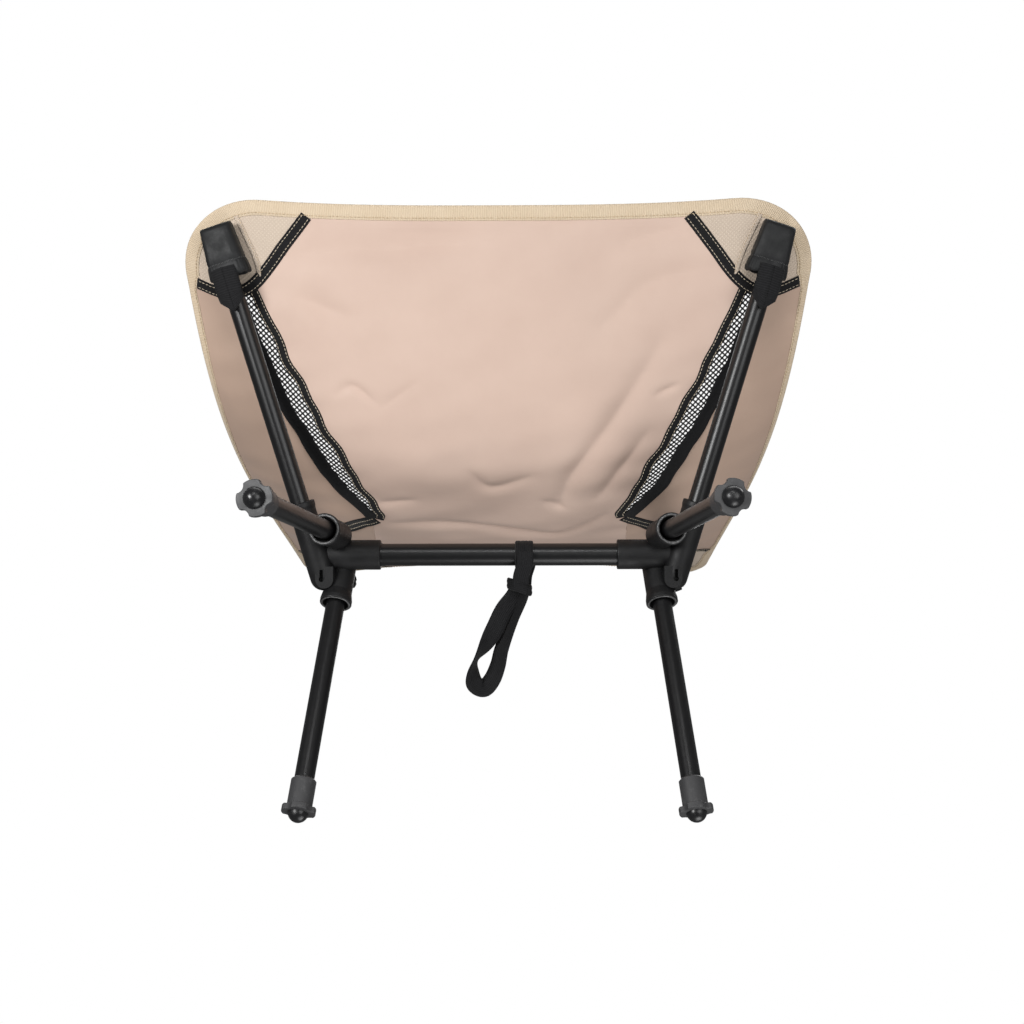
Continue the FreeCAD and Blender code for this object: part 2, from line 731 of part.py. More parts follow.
def build_pockets():
    seat_up = sling_normal(0.05, 0.86)
    back_up = sling_normal(0.95, 0.86)
    ends = {
        "seat": (at(SEAT_POLE_TIP), at(SEAT_POLE_ROOT), seat_up, POCKET_INWARD),
        "back": (at(BACK_POLE_TIP), at(BACK_POLE_ROOT), back_up, -POCKET_INWARD),
    }
    for name, (tip, root, upward, inward) in ends.items():
        save_both(name + "_pocket", pocket(tip, root, upward, inward))
        left = pull(tip, root, upward)
        save(name + "_pulls", Part.makeCompound([left, left.mirror(ORIGIN, X_AXIS)]))


# ---- hang strap ---------------------------------------------------------------------------
def build_strap():
    """Webbing loop hitched round the crossbar, in its own frame: X along the bar, -Z hanging."""
    inner = CROSSBAR_RADIUS + 0.5
    ring_side = Vector(-STRAP_WIDTH / 2, 0, 0)
    ring = Part.makeCylinder(inner + STRAP_THICKNESS, STRAP_WIDTH, ring_side, X_AXIS)
    ring = ring.cut(Part.makeCylinder(inner, STRAP_WIDTH, ring_side, X_AXIS))
    neck_depth = 5.0
    neck_corner = Vector(-STRAP_WIDTH / 2, -neck_depth / 2, -STRAP_NECK)
    neck = Part.makeBox(STRAP_WIDTH, neck_depth, STRAP_NECK - inner - 1, neck_corner)
    knot_x, knot_y, knot_z = STRAP_KNOT
    knot_corner = Vector(-knot_x / 2, -knot_y / 2, -STRAP_NECK - knot_z + 2)
    knot = Part.makeBox(knot_x, knot_y, knot_z, knot_corner)
    knot = knot.makeFillet(3, knot.Edges)
    loop = strap_loop()
    loop.Placement = Placement(Vector(0, 0, -STRAP_NECK - knot_z + 4), Rotation(Y_AXIS, STRAP_LEAN))
    strap = ring.fuse(neck).fuse(knot).fuse(loop).removeSplitter()
    swing = Rotation(X_AXIS, 90 - STRAP_DROP)
    strap.Placement = Placement(at((STRAP_X, 0, 0)), swing)
    save("hang_strap", strap)


def strap_loop():
    """The open loop below the knot, hanging from its own top."""
    half = STRAP_LOOP_WIDTH / 2
    outer = stadium(half, STRAP_LOOP_LENGTH)
    inner = stadium(half - STRAP_THICKNESS - 1, STRAP_LOOP_LENGTH - 2 * STRAP_THICKNESS - 2)
    inner.translate(Vector(0, 0, -STRAP_THICKNESS - 1))
    return outer.cut(inner)


def stadium(half, length):
    """A round-ended block, hanging down from z = 0."""
    depth = STRAP_WIDTH - 4
    low = -length + half
    edges = [
        Part.Arc(Vector(-half, 0, -half), Vector(0, 0, 0), Vector(half, 0, -half)).toShape(),
        Part.LineSegment(Vector(half, 0, -half), Vector(half, 0, low)).toShape(),
        Part.Arc(Vector(half, 0, low), Vector(0, 0, -length), Vector(-half, 0, low)).toShape(),
        Part.LineSegment(Vector(-half, 0, low), Vector(-half, 0, -half)).toShape(),
    ]
    face = Part.Face(Part.Wire(edges))
    face.translate(Vector(0, -depth / 2, 0))
    return face.extrude(Vector(0, depth, 0))


build_crossbar()
build_hub()
build_hub_cord()
build_poles()
build_leg("front", FRONT_SOCKET_MOUTH, FRONT_FOOT)
build_leg("rear", REAR_SOCKET_MOUTH, REAR_FOOT)
build_sling()
build_binding()
build_tapes()
build_pockets()
build_strap()
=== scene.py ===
import math

import bmesh
import bpy
import numpy as np
from mathutils import Matrix, Vector


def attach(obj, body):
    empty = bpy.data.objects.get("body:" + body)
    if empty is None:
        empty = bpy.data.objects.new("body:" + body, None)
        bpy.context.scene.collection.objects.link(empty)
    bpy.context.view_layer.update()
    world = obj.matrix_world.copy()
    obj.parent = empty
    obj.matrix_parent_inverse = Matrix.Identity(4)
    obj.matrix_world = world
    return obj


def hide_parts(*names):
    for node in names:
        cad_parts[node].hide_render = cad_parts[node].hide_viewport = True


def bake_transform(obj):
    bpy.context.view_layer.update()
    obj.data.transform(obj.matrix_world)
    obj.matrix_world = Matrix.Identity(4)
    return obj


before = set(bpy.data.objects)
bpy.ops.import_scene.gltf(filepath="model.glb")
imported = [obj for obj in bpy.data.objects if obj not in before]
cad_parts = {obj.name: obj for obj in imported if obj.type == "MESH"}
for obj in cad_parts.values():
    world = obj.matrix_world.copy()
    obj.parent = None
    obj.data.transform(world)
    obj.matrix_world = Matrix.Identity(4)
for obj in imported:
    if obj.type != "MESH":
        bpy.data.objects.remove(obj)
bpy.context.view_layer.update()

# Ultralight backpacking chair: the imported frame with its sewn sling, strap and cords.
# Metres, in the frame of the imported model. Sling places are given as (share, across):
# share runs from the front edge to the top edge, across from the middle (0) to the side (1).

MM = 0.001
HUB_CENTRE = np.array([0.0, 0.0170, 0.1958])
SIDES = {"left": 1, "right": -1}

# ---- sling shape
MIDDLE_CURVE = np.array([(-0.274, 0.102), (-0.055, 0.015), (0.005, -0.035), (0.220, 0.394)])
SIDE_CURVE = np.array([
    (0.272, -0.283, 0.119), (0.247, -0.057, 0.054), (0.232, -0.025, 0.118), (0.220, 0.246, 0.402)])
SIDE_RISE = 3.0
PANEL_THICKNESS = 1.0 * MM
CORNER_RADIUS = 76 * MM
CORNER_SPAN = 0.095
HALF_WIDTH = 0.27
SIDE_BINDING = 0.52
TAPE_WIDTH = 10 * MM
TAPE_STITCH_OFFSETS = (-2.8 * MM, 2.9 * MM)
TAPE_STITCH_HEIGHTS = (-0.92 * MM, 1.05 * MM)
# Stitches: pitch, length and thread radius.
TAPE_STITCH = (3.3 * MM, 2.5 * MM, 0.38 * MM)
HEM_STITCH = (2.6 * MM, 1.7 * MM, 0.28 * MM)
NET_PITCH = 4.8 * MM
NET_HOLE = 0.57

# Seams as (share, across); the back half repeats the front half's, shorter along the strip.
INNER_SEAM = [
    (0.0, 0.573), (0.055, 0.672), (0.115, 0.785), (0.25, 0.672), (0.42, 0.543), (0.575, 0.440),
    (0.583, 0.4865), (0.692, 0.502), (0.70, 0.460), (0.76, 0.555), (0.82, 0.672), (0.885, 0.785),
    (0.945, 0.672), (1.0, 0.573)]
OUTER_SEAM = [
    (0.0, 0.84), (0.12, 0.84), (0.29, 0.738), (0.485, 0.592), (0.575, 0.482),
    (0.70, 0.500), (0.75, 0.592), (0.81, 0.735), (0.88, 0.84), (1.0, 0.84)]
CORNER_SEAM_SHARE = 0.12
CORNER_TAPE = [
    (0.0145, 0.590), (0.055, 0.672), (0.103, 0.765), (0.124, 0.835), (0.127, 0.90), (0.119, 0.969)]
CORNER_HEM = [(0.020, 0.812), (0.045, 0.787), (0.070, 0.765), (0.096, 0.752)]
BELT_MIDDLE = 0.64
BELT_CALM = 0.09
BELT_SEAM = [(0.0, 0.581), (0.3, 0.655), (0.6, 0.665), (1.0, 0.655)]
STRIP_ENDS = {"seat": (0.118, 0.578), "back": (0.70, 0.882)}

# Width and length of the rectangle that each panel is cut from, in metres.
FLAT_SIZES = {
    "seat": {"corner": (0.115, 0.085), "side": (0.150, 0.280), "mesh": (0.030, 0.250)},
    "back": {"corner": (0.095, 0.140), "side": (0.145, 0.270), "mesh": (0.025, 0.200)}}

# Creases of the centre panel: places along each, its depth and its width in millimetres.
CREASE_SCALE = 2.3
CREASES = [
    ([(0.06, -0.60), (0.05, -0.34), (0.04, -0.03)], 2.2, 15),
    ([(0.017, 0.10), (0.024, 0.25)], 1.0, 5),
    ([(0.045, 0.38), (0.028, 0.57)], 1.4, 10),
    ([(0.085, 0.64), (0.10, 0.48), (0.16, 0.33)], 1.8, 11),
    ([(0.19, 0.53), (0.31, 0.40), (0.44, 0.26), (0.52, 0.22)], 2.2, 10),
    ([(0.35, 0.51), (0.50, 0.36)], 1.3, 7),
    ([(0.276, 0.526), (0.262, 0.60)], 1.1, 3.5),
    ([(0.273, -0.54), (0.258, -0.487), (0.284, -0.417)], 1.2, 4),
    ([(0.293, -0.39), (0.246, -0.27)], 0.8, 4),
    ([(0.12, -0.655), (0.144, -0.49)], 1.5, 9),
    ([(0.526, -0.45), (0.507, -0.31)], 1.2, 5),
    ([(0.43, -0.10), (0.468, -0.03), (0.442, 0.107)], 1.2, 5.5),
    ([(0.506, 0.16), (0.529, 0.236)], 1.0, 4.5),
    ([(0.594, -0.41), (0.594, -0.12), (0.63, 0.21), (0.566, 0.40)], 2.0, 7),
    ([(0.72, -0.45), (0.74, -0.2), (0.73, 0.1)], 1.8, 12),
    ([(0.86, 0.60), (0.83, 0.35), (0.80, 0.1)], 1.8, 12),
    ([(0.93, -0.45), (0.95, -0.1)], 1.5, 11),
]

# ---- poles, pockets and strap
POLES = {
    "seat": ((0.156, -0.008, -0.0045), (0.236, -0.255, 0.095)),
    "back": ((0.1533, 0.0161, 0.0162), (0.187, 0.236, 0.378))}
POLE_RADIUS = 8 * MM
POCKET_WIDTHS = (35 * MM, 29 * MM)
POCKET_DEPTH = 18.4 * MM
POCKET_LENGTH = 44 * MM
POCKET_PAST_TIP = 5 * MM
POCKET_INWARD = 2 * MM
LEG_SOCKETS = {
    "front": ((0.1429, -0.0424, -0.0348), (0.1691, -0.1456, -0.1876)),
    "rear": ((0.1381, 0.0321, -0.0281), (0.1559, 0.1286, -0.1876))}
LEG_INSERTION = 34 * MM
CROSSBAR_RADIUS = 9.5 * MM
STRAP_X = 21 * MM
STRAP_WIDTH = 16 * MM
STRAP_DROP = math.radians(26.5)

# ---- camera
CAMERA_LENS = 56.25
CAMERA_BELOW = math.radians(63.5)
CAMERA_YAW = math.radians(-1.03)
CAMERA_ROLL = math.radians(-0.78)
CAMERA_OFFSET = np.array([-0.0107, -0.0364, 1.3629])


# ---- shape of the sling
def cubic(controls, share):
    share = np.asarray(share, float)[..., None]
    rest = 1 - share
    return (rest ** 3 * controls[0] + 3 * rest ** 2 * share * controls[1]
            + 3 * rest * share ** 2 * controls[2] + share ** 3 * controls[3])


def plain_sling(share, across):
    """Points of the sling's lower face without its creases."""
    share, across = np.broadcast_arrays(np.asarray(share, float), np.asarray(across, float))
    middle = cubic(MIDDLE_CURVE, share)
    side = cubic(SIDE_CURVE, share)
    rise = np.abs(across) ** SIDE_RISE
    x = across * side[..., 0]
    y = middle[..., 0] + (side[..., 1] - middle[..., 0]) * rise
    z = middle[..., 1] + (side[..., 2] - middle[..., 1]) * rise
    return np.stack([x, y, z], -1) + HUB_CENTRE


def slopes(share, across):
    """How the sling's point moves per unit of share and of across."""
    step = 0.002
    down = plain_sling(share + step, across) - plain_sling(share - step, across)
    sideways = plain_sling(share, across + step) - plain_sling(share, across - step)
    return down / (2 * step), sideways / (2 * step)


def unit(vectors):
    vectors = np.asarray(vectors, float)
    return vectors / np.linalg.norm(vectors, axis=-1, keepdims=True)


def sling_normal(share, across):
    """Towards the sitter."""
    down, sideways = slopes(share, across)
    return unit(np.cross(sideways, down))


def half_width(share):
    """From the middle to the side edge, in metres."""
    return cubic(SIDE_CURVE, share)[..., 0]


def run_lengths(points):
    """The length along a line, from its first point to each point."""
    steps = np.linalg.norm(np.diff(points, axis=0), axis=1)
    return np.concatenate([[0], np.cumsum(steps)])


def at_lengths(wanted, lengths, points):
    """The points of a line at the wanted lengths, column by column."""
    return np.stack([np.interp(wanted, lengths, column) for column in points.T], -1)


def turns(count):
    """Evenly spaced angles round a circle."""
    return np.linspace(0, 2 * math.pi, count + 1)[:-1]


def on_side(point, side_name):
    """A place given from the crossbar's middle for the left side, on one side."""
    return np.array(point) * np.array([SIDES[side_name], 1, 1]) + HUB_CENTRE


SHARE_STEPS = np.linspace(-0.01, 1.01, 205)
LENGTH_STEPS = run_lengths(plain_sling(SHARE_STEPS, 0.6))


def cloth_coordinates(share, across):
    """Sideways and lengthwise place on the cloth, in metres."""
    place = np.interp(share, SHARE_STEPS, LENGTH_STEPS)
    return np.stack([across * half_width(share), place], -1)


def ripples(places, wavelength, seed, stretch=(1.0, 1.0), count=14):
    """A smooth uneven field of about unit size, from waves in fixed random directions."""
    random = np.random.default_rng(seed)
    angles = random.uniform(0, math.pi, count)
    phases = random.uniform(0, 2 * math.pi, count)
    lengths = wavelength * random.uniform(0.7, 1.5, count)
    total = np.zeros(places.shape[:-1])
    for angle, phase, length in zip(angles, phases, lengths):
        run = (places[..., 0] * math.cos(angle) / stretch[0]
               + places[..., 1] * math.sin(angle) / stretch[1])
        total += np.cos(2 * math.pi * run / length + phase)
    return total * math.sqrt(2 / count) / 2


def line_distance(places, line):
    """Distance of places from a line of points, and the share along it of the nearest point."""
    best = np.full(places.shape[:-1], 1e9)
    position = np.zeros(places.shape[:-1])
    for index in range(len(line) - 1):
        start, run = line[index], line[index + 1] - line[index]
        along = np.clip(((places - start) @ run) / (run @ run), 0, 1)
        gap = np.linalg.norm(places - start - along[..., None] * run, axis=-1)
        nearer = gap < best
        best = np.where(nearer, gap, best)
        position = np.where(nearer, (index + along) / (len(line) - 1), position)
    return best, position


def crease_depth(places):
    total = np.zeros(places.shape[:-1])
    for line, depth, width in CREASES:
        points = np.array(line)
        route = through(cloth_coordinates(points[:, 0], points[:, 1]), 5)
        gap, position = line_distance(places, route)
        fade = np.sin(math.pi * np.clip(position * 0.9 + 0.05, 0, 1)) ** 0.6
        total += CREASE_SCALE * depth * MM * fade * np.exp(-(gap / (width * MM)) ** 1.5)
    return total


def wavy(share, side):
    """The seams' small sideways waves, different on the two sides and calm by corners and belt."""
    phase = 0.8 if side > 0 else 2.6
    swing = 0.0042 * np.sin(share * 52 + phase) + 0.0030 * np.sin(share * 96 + 2 * phase)
    into = np.minimum(share, 1 - share) - CORNER_SEAM_SHARE
    from_belt = np.abs(share - BELT_MIDDLE) - BELT_CALM
    return swing * np.clip(into / 0.06, 0, 1) * np.clip(from_belt / 0.05, 0, 1)


def from_table(table, value):
    columns = np.array(table)
    return np.interp(value, columns[:, 0], columns[:, 1])


def inner_seam(share, side=1):
    return from_table(INNER_SEAM, share) + wavy(share, side)


def outer_seam(share, side=1):
    return from_table(OUTER_SEAM, share) + wavy(share + 0.03, side) * 0.6


def wrinkles(share, across):
    """Height of the cloth over its plain shape, towards the sitter."""
    places = cloth_coordinates(share, across)
    side = np.where(across > 0, 1, -1)
    seam = np.where(side > 0, inner_seam(share, 1), inner_seam(share, -1))
    seam_gap = np.abs(np.abs(across) - seam) * half_width(share)
    soft = 1.5 * MM * ripples(places, 0.11, 3)
    fine = 0.5 * MM * ripples(places, 0.034, 8, (1.6, 1.0))
    puckers = 0.9 * MM * ripples(places, 0.028, 5, (3.0, 1.0)) * np.exp(-seam_gap / 0.016)
    edge = np.minimum(np.minimum(share, 1 - share) / 0.03, (1 - np.abs(across)) / 0.06)
    free = np.clip(edge, 0, 1)
    return (soft + fine + puckers + crease_depth(places)) * free


def sling(share, across, height=0.0):
    share, across = np.broadcast_arrays(np.asarray(share, float), np.asarray(across, float))
    lift = wrinkles(share, across) + height
    return plain_sling(share, across) + sling_normal(share, across) * lift[..., None]


def beside(share, across, offset):
    """Places moved sideways from a route on the sling, in metres, to the left of its run."""
    down_scale, side_scale = (np.linalg.norm(slope, axis=-1) for slope in slopes(share, across))
    run = unit(np.stack([np.gradient(across) * side_scale, np.gradient(share) * down_scale], -1))
    return share - run[:, 0] * offset / down_scale, across + run[:, 1] * offset / side_scale


def route_on_sling(points, spacing=2 * MM):
    """Evenly spaced (share, across) places along a smooth line through given points."""
    dense = through(np.array(points, float), 24)
    total = run_lengths(plain_sling(dense[:, 0], dense[:, 1]))
    steps = np.linspace(0, total[-1], max(3, int(total[-1] / spacing)))
    return at_lengths(steps, total, dense).T


def through(points, steps):
    """A smooth line through points, a fixed number of steps between each pair."""
    padded = np.vstack([2 * points[0] - points[1], points, 2 * points[-1] - points[-2]])
    line = []
    for index in range(1, len(padded) - 2):
        a, b, c, d = padded[index - 1:index + 3]
        for step in range(steps):
            u = step / steps
            line.append(0.5 * (2 * b + (c - a) * u + (2 * a - 5 * b + 4 * c - d) * u ** 2
                               + (3 * b - a - 3 * c + d) * u ** 3))
    line.append(points[-1])
    return np.array(line)


# ---- mesh helpers
def grid_faces(rows, columns, close_rows=False, close_columns=False):
    index = np.arange(rows * columns).reshape(rows, columns)
    if close_rows:
        index = np.vstack([index, index[:1]])
    if close_columns:
        index = np.hstack([index, index[:, :1]])
    quads = np.stack([index[:-1, :-1], index[:-1, 1:], index[1:, 1:], index[1:, :-1]], -1)
    return quads.reshape(-1, 4).tolist()


def add_object(name, data):
    thing = bpy.data.objects.new(name, data)
    bpy.context.scene.collection.objects.link(thing)
    return thing


def make_object(name, vertices, faces, uvs=None, smooth=True, outward=False):
    mesh = bpy.data.meshes.new(name)
    mesh.from_pydata(np.asarray(vertices, float).reshape(-1, 3).tolist(), [], faces)
    if uvs is not None:
        layer = mesh.uv_layers.new(name="UVMap")
        corners = np.empty(len(mesh.loops), np.int32)
        mesh.loops.foreach_get("vertex_index", corners)
        layer.data.foreach_set("uv", np.asarray(uvs, np.float32).reshape(-1, 2)[corners].ravel())
    if outward:
        face_outward(mesh)
    if smooth:
        mesh.shade_smooth()
    return add_object(name, mesh)


def face_outward(mesh, weld=False):
    """Turns the faces outward, and first joins points that lie together where asked to."""
    shape = bmesh.new()
    shape.from_mesh(mesh)
    if weld:
        bmesh.ops.remove_doubles(shape, verts=shape.verts, dist=0.05 * MM)
    bmesh.ops.recalc_face_normals(shape, faces=shape.faces)
    shape.to_mesh(mesh)
    shape.free()


def thicken(thing, thickness, offset=1.0):
    layer = thing.modifiers.new("thickness", "SOLIDIFY")
    layer.thickness = thickness
    layer.offset = offset
    layer.use_even_offset = False


def dress(thing, material, body, slot, *replaced):
    thing.data.materials.clear()
    thing.data.materials.append(material)
    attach(thing, body)
    if replaced:
        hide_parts(*replaced)
    return thing


def rings_object(name, rings, uvs=None, close_rows=False):
    """A closed skin over rings of points, one ring per row."""
    rings = np.asarray(rings)
    rows, columns = rings.shape[:2]
    faces = grid_faces(rows, columns, close_rows=close_rows, close_columns=True)
    if not close_rows:
        faces.append(list(range(columns)))
        faces.append(list(range((rows - 1) * columns, rows * columns)))
    return make_object(name, rings, faces, uvs, outward=True)


def band_uvs(lengths, reaches):
    """Places on a band's weave, from lengths along it and reaches across it."""
    return np.stack(np.meshgrid(lengths, reaches, indexing="ij"), -1)


# ---- materials
# Scale of a wave texture with one band in each unit of length.
WAVE_SCALE = 2 * math.pi / 20


class Look:
    """A principled material with short calls for its nodes."""

    def __init__(self, name, colour, roughness, **constants):
        self.material = bpy.data.materials.new(name)
        self.material.use_nodes = True
        self.tree = self.material.node_tree
        self.shader = self.tree.nodes["Principled BSDF"]
        self.colour = (*colour, 1.0)
        self.shader.inputs["Base Color"].default_value = self.colour
        self.shader.inputs["Roughness"].default_value = roughness
        for key, value in constants.items():
            self.shader.inputs[key.replace("_", " ")].default_value = value
        self.height = None

    def node(self, kind, inputs=(), **settings):
        """A new node; its inputs are given as values or as other nodes' outputs."""
        made = self.tree.nodes.new(kind)
        for key, value in settings.items():
            setattr(made, key, value)
        for key, value in dict(inputs).items():
            if isinstance(value, bpy.types.NodeSocket):
                self.link(value, made.inputs[key])
            else:
                made.inputs[key].default_value = value
        return made

    def link(self, source, target):
        self.tree.links.new(source, target)

    def places(self, scale=(1, 1, 1), kind="Object", turn=0.0):
        whole = self.node("ShaderNodeTexCoord").outputs[kind]
        inputs = {"Vector": whole, "Scale": scale, "Rotation": (0, 0, turn)}
        return self.node("ShaderNodeMapping", inputs).outputs["Vector"]

    def noise(self, places, scale, detail=3.0, roughness=0.55):
        inputs = {"Vector": places, "Scale": scale, "Detail": detail, "Roughness": roughness}
        return self.node("ShaderNodeTexNoise", inputs).outputs["Fac"]

    def waves(self, places, pitch, direction="X", distortion=0.0):
        """Smooth bands, one in each pitch."""
        inputs = {"Vector": places, "Scale": 1 / pitch * WAVE_SCALE, "Distortion": distortion}
        made = self.node("ShaderNodeTexWave", inputs, bands_direction=direction,
                         wave_profile="SIN")
        return made.outputs["Fac"]

    def product(self, a, b):
        return self.node("ShaderNodeMath", {0: a, 1: b}, operation="MULTIPLY").outputs[0]

    def weave(self, places, pitch):
        """Threads both ways."""
        return self.product(self.waves(places, pitch, "X"), self.waves(places, pitch, "Y"))

    def ramp(self, value, low, high, to_low, to_high):
        inputs = {"Value": value, "From Min": low, "From Max": high, "To Min": to_low,
                  "To Max": to_high}
        return self.node("ShaderNodeMapRange", inputs).outputs["Result"]

    def tint(self, factor, other):
        """Mixes another colour over the present one where factor is high."""
        present = self.shader.inputs["Base Color"]
        under = present.links[0].from_socket if present.is_linked else self.colour
        mix = self.node("ShaderNodeMix", {0: factor, 6: under, 7: (*other, 1.0)}, data_type="RGBA")
        self.link(mix.outputs[2], present)

    def rough(self, value):
        self.link(value, self.shader.inputs["Roughness"])

    def bump(self, value, distance, strength):
        inputs = {"Height": value, "Distance": distance, "Strength": strength}
        if self.height is not None:
            inputs["Normal"] = self.height
        self.height = self.node("ShaderNodeBump", inputs).outputs["Normal"]
        self.link(self.height, self.shader.inputs["Normal"])

    def spots(self, places, noise, low, high, most, colour):
        """Another colour where a noise runs high; noise is its scale, detail and roughness."""
        self.tint(self.ramp(self.noise(places, *noise), low, high, 0.0, most), colour)

    def gloss(self, places, noise, low, high, smooth, rough):
        """An uneven roughness, from smooth to rough as a noise rises."""
        self.rough(self.ramp(self.noise(places, *noise), low, high, smooth, rough))

    def grain(self, places, noise, distance, strength):
        """A bumpy surface from a noise; distance in millimetres."""
        self.bump(self.noise(places, *noise), distance * MM, strength)


def fabric_look(name, colour, shade, roughness=0.62):
    """Coated plain-weave nylon with faint threads, soft tone changes and a low sheen."""
    look = Look(name, colour, roughness, Sheen_Weight=0.12, Sheen_Roughness=0.4,
                Specular_IOR_Level=0.35)
    cloth = look.places(kind="UV")
    tone = look.noise(cloth, 14, 4.0, 0.6)
    look.tint(look.ramp(tone, 0.35, 0.75, 0.0, 0.5), shade)
    threads = look.weave(cloth, 0.9 * MM)
    look.tint(look.ramp(threads, 0.0, 1.0, 0.10, 0.0), shade)
    look.bump(threads, 0.05 * MM, 0.35)
    look.grain(cloth, (260, 2.0), 0.12, 0.35)
    look.rough(look.ramp(tone, 0.3, 0.7, roughness - 0.07, roughness + 0.07))
    return look.material


def corner_look():
    """Polyester with a small diamond rib."""
    look = Look("corner_fabric", (0.62, 0.52, 0.42), 0.75, Sheen_Weight=0.2)
    cloth = look.places(kind="UV", turn=math.radians(45))
    ribs = look.weave(cloth, 2.4 * MM)
    look.tint(look.ramp(ribs, 0.0, 0.8, 0.45, 0.0), (0.44, 0.34, 0.26))
    look.spots(cloth, (30,), 0.3, 0.8, 0.25, (0.50, 0.41, 0.33))
    look.bump(ribs, 0.35 * MM, 0.8)
    return look.material


def binding_look():
    """Grosgrain edge tape: ribs across, an uneven tone and fuzz."""
    look = Look("binding_tape", (0.70, 0.575, 0.42), 0.8, Sheen_Weight=0.25)
    cloth = look.places(kind="UV")
    ribs = look.waves(cloth, 1.5 * MM, "X", 0.4)
    look.tint(look.ramp(ribs, 0.0, 1.0, 0.55, 0.0), (0.48, 0.34, 0.20))
    look.spots(cloth, (40,), 0.4, 0.8, 0.4, (0.74, 0.62, 0.47))
    look.bump(ribs, 0.3 * MM, 0.9)
    look.grain(cloth, (700, 2.0), 0.15, 0.6)
    return look.material


def webbing_look(name, colour, pitch, direction="Y", roughness=0.75):
    """Black narrow weave with ribs one way and fuzz."""
    look = Look(name, colour, roughness, Sheen_Weight=0.06, Sheen_Roughness=0.5,
                Specular_IOR_Level=0.2)
    cloth = look.places(kind="UV")
    ribs = look.waves(cloth, pitch, direction, 0.3)
    lighter = tuple(3.2 * c for c in colour)
    look.tint(look.ramp(ribs, 0.2, 1.0, 0.0, 0.6), lighter)
    look.spots(cloth, (300,), 0.45, 0.8, 0.5, lighter)
    look.bump(ribs, 0.3 * MM, 0.7)
    look.grain(cloth, (900, 2.0), 0.12, 0.5)
    return look.material


def black_cloth_look():
    """Smooth coated black pocket cloth with a fine twill."""
    look = Look("pocket_cloth", (0.006, 0.0065, 0.007), 0.55, Sheen_Weight=0.04,
                Specular_IOR_Level=0.35)
    cloth = look.places()
    twill = look.waves(look.places(turn=math.radians(35)), 0.8 * MM, "X", 0.2)
    look.spots(cloth, (60,), 0.4, 0.8, 0.6, (0.012, 0.0125, 0.014))
    look.bump(twill, 0.06 * MM, 0.4)
    look.grain(cloth, (120, 4.0), 0.5, 0.35)
    look.gloss(cloth, (90,), 0.3, 0.7, 0.45, 0.68)
    return look.material


def mesh_look():
    look = Look("mesh_threads", (0.006, 0.006, 0.0065), 0.7, Sheen_Weight=0.05)
    cloth = look.places(kind="UV")
    look.spots(cloth, (900,), 0.4, 0.8, 0.7, (0.03, 0.03, 0.032))
    look.grain(cloth, (1500, 2.0), 0.15, 0.8)
    return look.material


def thread_look(name, colour, shade):
    look = Look(name, colour, 0.6, Sheen_Weight=0.3)
    places = look.places()
    look.spots(places, (600,), 0.35, 0.7, 0.7, shade)
    look.bump(look.waves(look.places(turn=0.6), 0.5 * MM, "X"), 0.1 * MM, 0.8)
    return look.material


def hard_look(name, colour, roughness, specular, spots, gloss, grain):
    """A tube, moulded plastic or rubber, with what Look.spots, gloss and grain are given."""
    look = Look(name, colour, roughness, Specular_IOR_Level=specular)
    places = look.places()
    look.spots(places, *spots)
    if gloss:
        look.gloss(places, *gloss)
    look.grain(places, *grain)
    return look.material


def bare_look():
    look = Look("bare_aluminium", (0.62, 0.62, 0.63), 0.35, Metallic=1.0)
    places = look.places((1, 1, 0.05))
    look.gloss(places, (900,), 0.3, 0.7, 0.25, 0.5)
    look.grain(places, (1200,), 0.03, 0.4)
    return look.material


def elastic_look():
    """Black braided cover with a pale tracer."""
    look = Look("braided_elastic", (0.02, 0.02, 0.022), 0.75, Sheen_Weight=0.3)
    braid = look.product(*[look.waves(look.places(turn=turn), 1.0 * MM) for turn in (0.8, -0.8)])
    look.tint(look.ramp(braid, 0.55, 0.9, 0.0, 0.6), (0.30, 0.29, 0.27))
    look.bump(braid, 0.25 * MM, 0.9)
    return look.material


SLING_FABRIC = fabric_look("sling_fabric", (0.62, 0.465, 0.385), (0.54, 0.39, 0.32))
# Side panels: the centre panel's cloth made darker, painted shade where the panels face away from the
# light.
SIDE_FABRIC_PAINTED_SHADE = fabric_look("side_fabric", (0.50, 0.36, 0.28), (0.43, 0.30, 0.23), 0.58)
CORNER_FABRIC = corner_look()
BINDING_TAPE = binding_look()
MESH_THREADS = mesh_look()
SEAM_TAPE = webbing_look("seam_tape", (0.005, 0.005, 0.0055), 1.1 * MM, "X", 0.8)
PULL_WEBBING = webbing_look("pull_webbing", (0.005, 0.005, 0.0055), 2.0 * MM, "X")
STRAP_WEBBING = webbing_look("strap_webbing", (0.004, 0.004, 0.0045), 1.6 * MM, "Y", 0.7)
POCKET_CLOTH = black_cloth_look()
PALE_THREAD = thread_look("pale_thread", (0.66, 0.56, 0.42), (0.40, 0.33, 0.24))
GOLD_THREAD = thread_look("gold_thread", (0.62, 0.46, 0.27), (0.38, 0.26, 0.14))
BLACK_THREAD = thread_look("black_thread", (0.02, 0.02, 0.02), (0.05, 0.05, 0.05))
TUBE = hard_look(
    "satin_black_tube", (0.004, 0.004, 0.0045), 0.33, 0.5,
    ((55, 5.0, 0.65), 0.62, 0.80, 0.3, (0.016, 0.015, 0.015)),
    ((240,), 0.3, 0.75, 0.31, 0.36), ((500, 2.0), 0.01, 0.1))
NYLON = hard_look(
    "moulded_black_nylon", (0.006, 0.006, 0.0065), 0.45, 0.35,
    ((70, 4.0), 0.45, 0.8, 0.6, (0.014, 0.014, 0.015)),
    ((120,), 0.3, 0.7, 0.42, 0.58), ((1500, 3.0, 0.6), 0.16, 0.55))
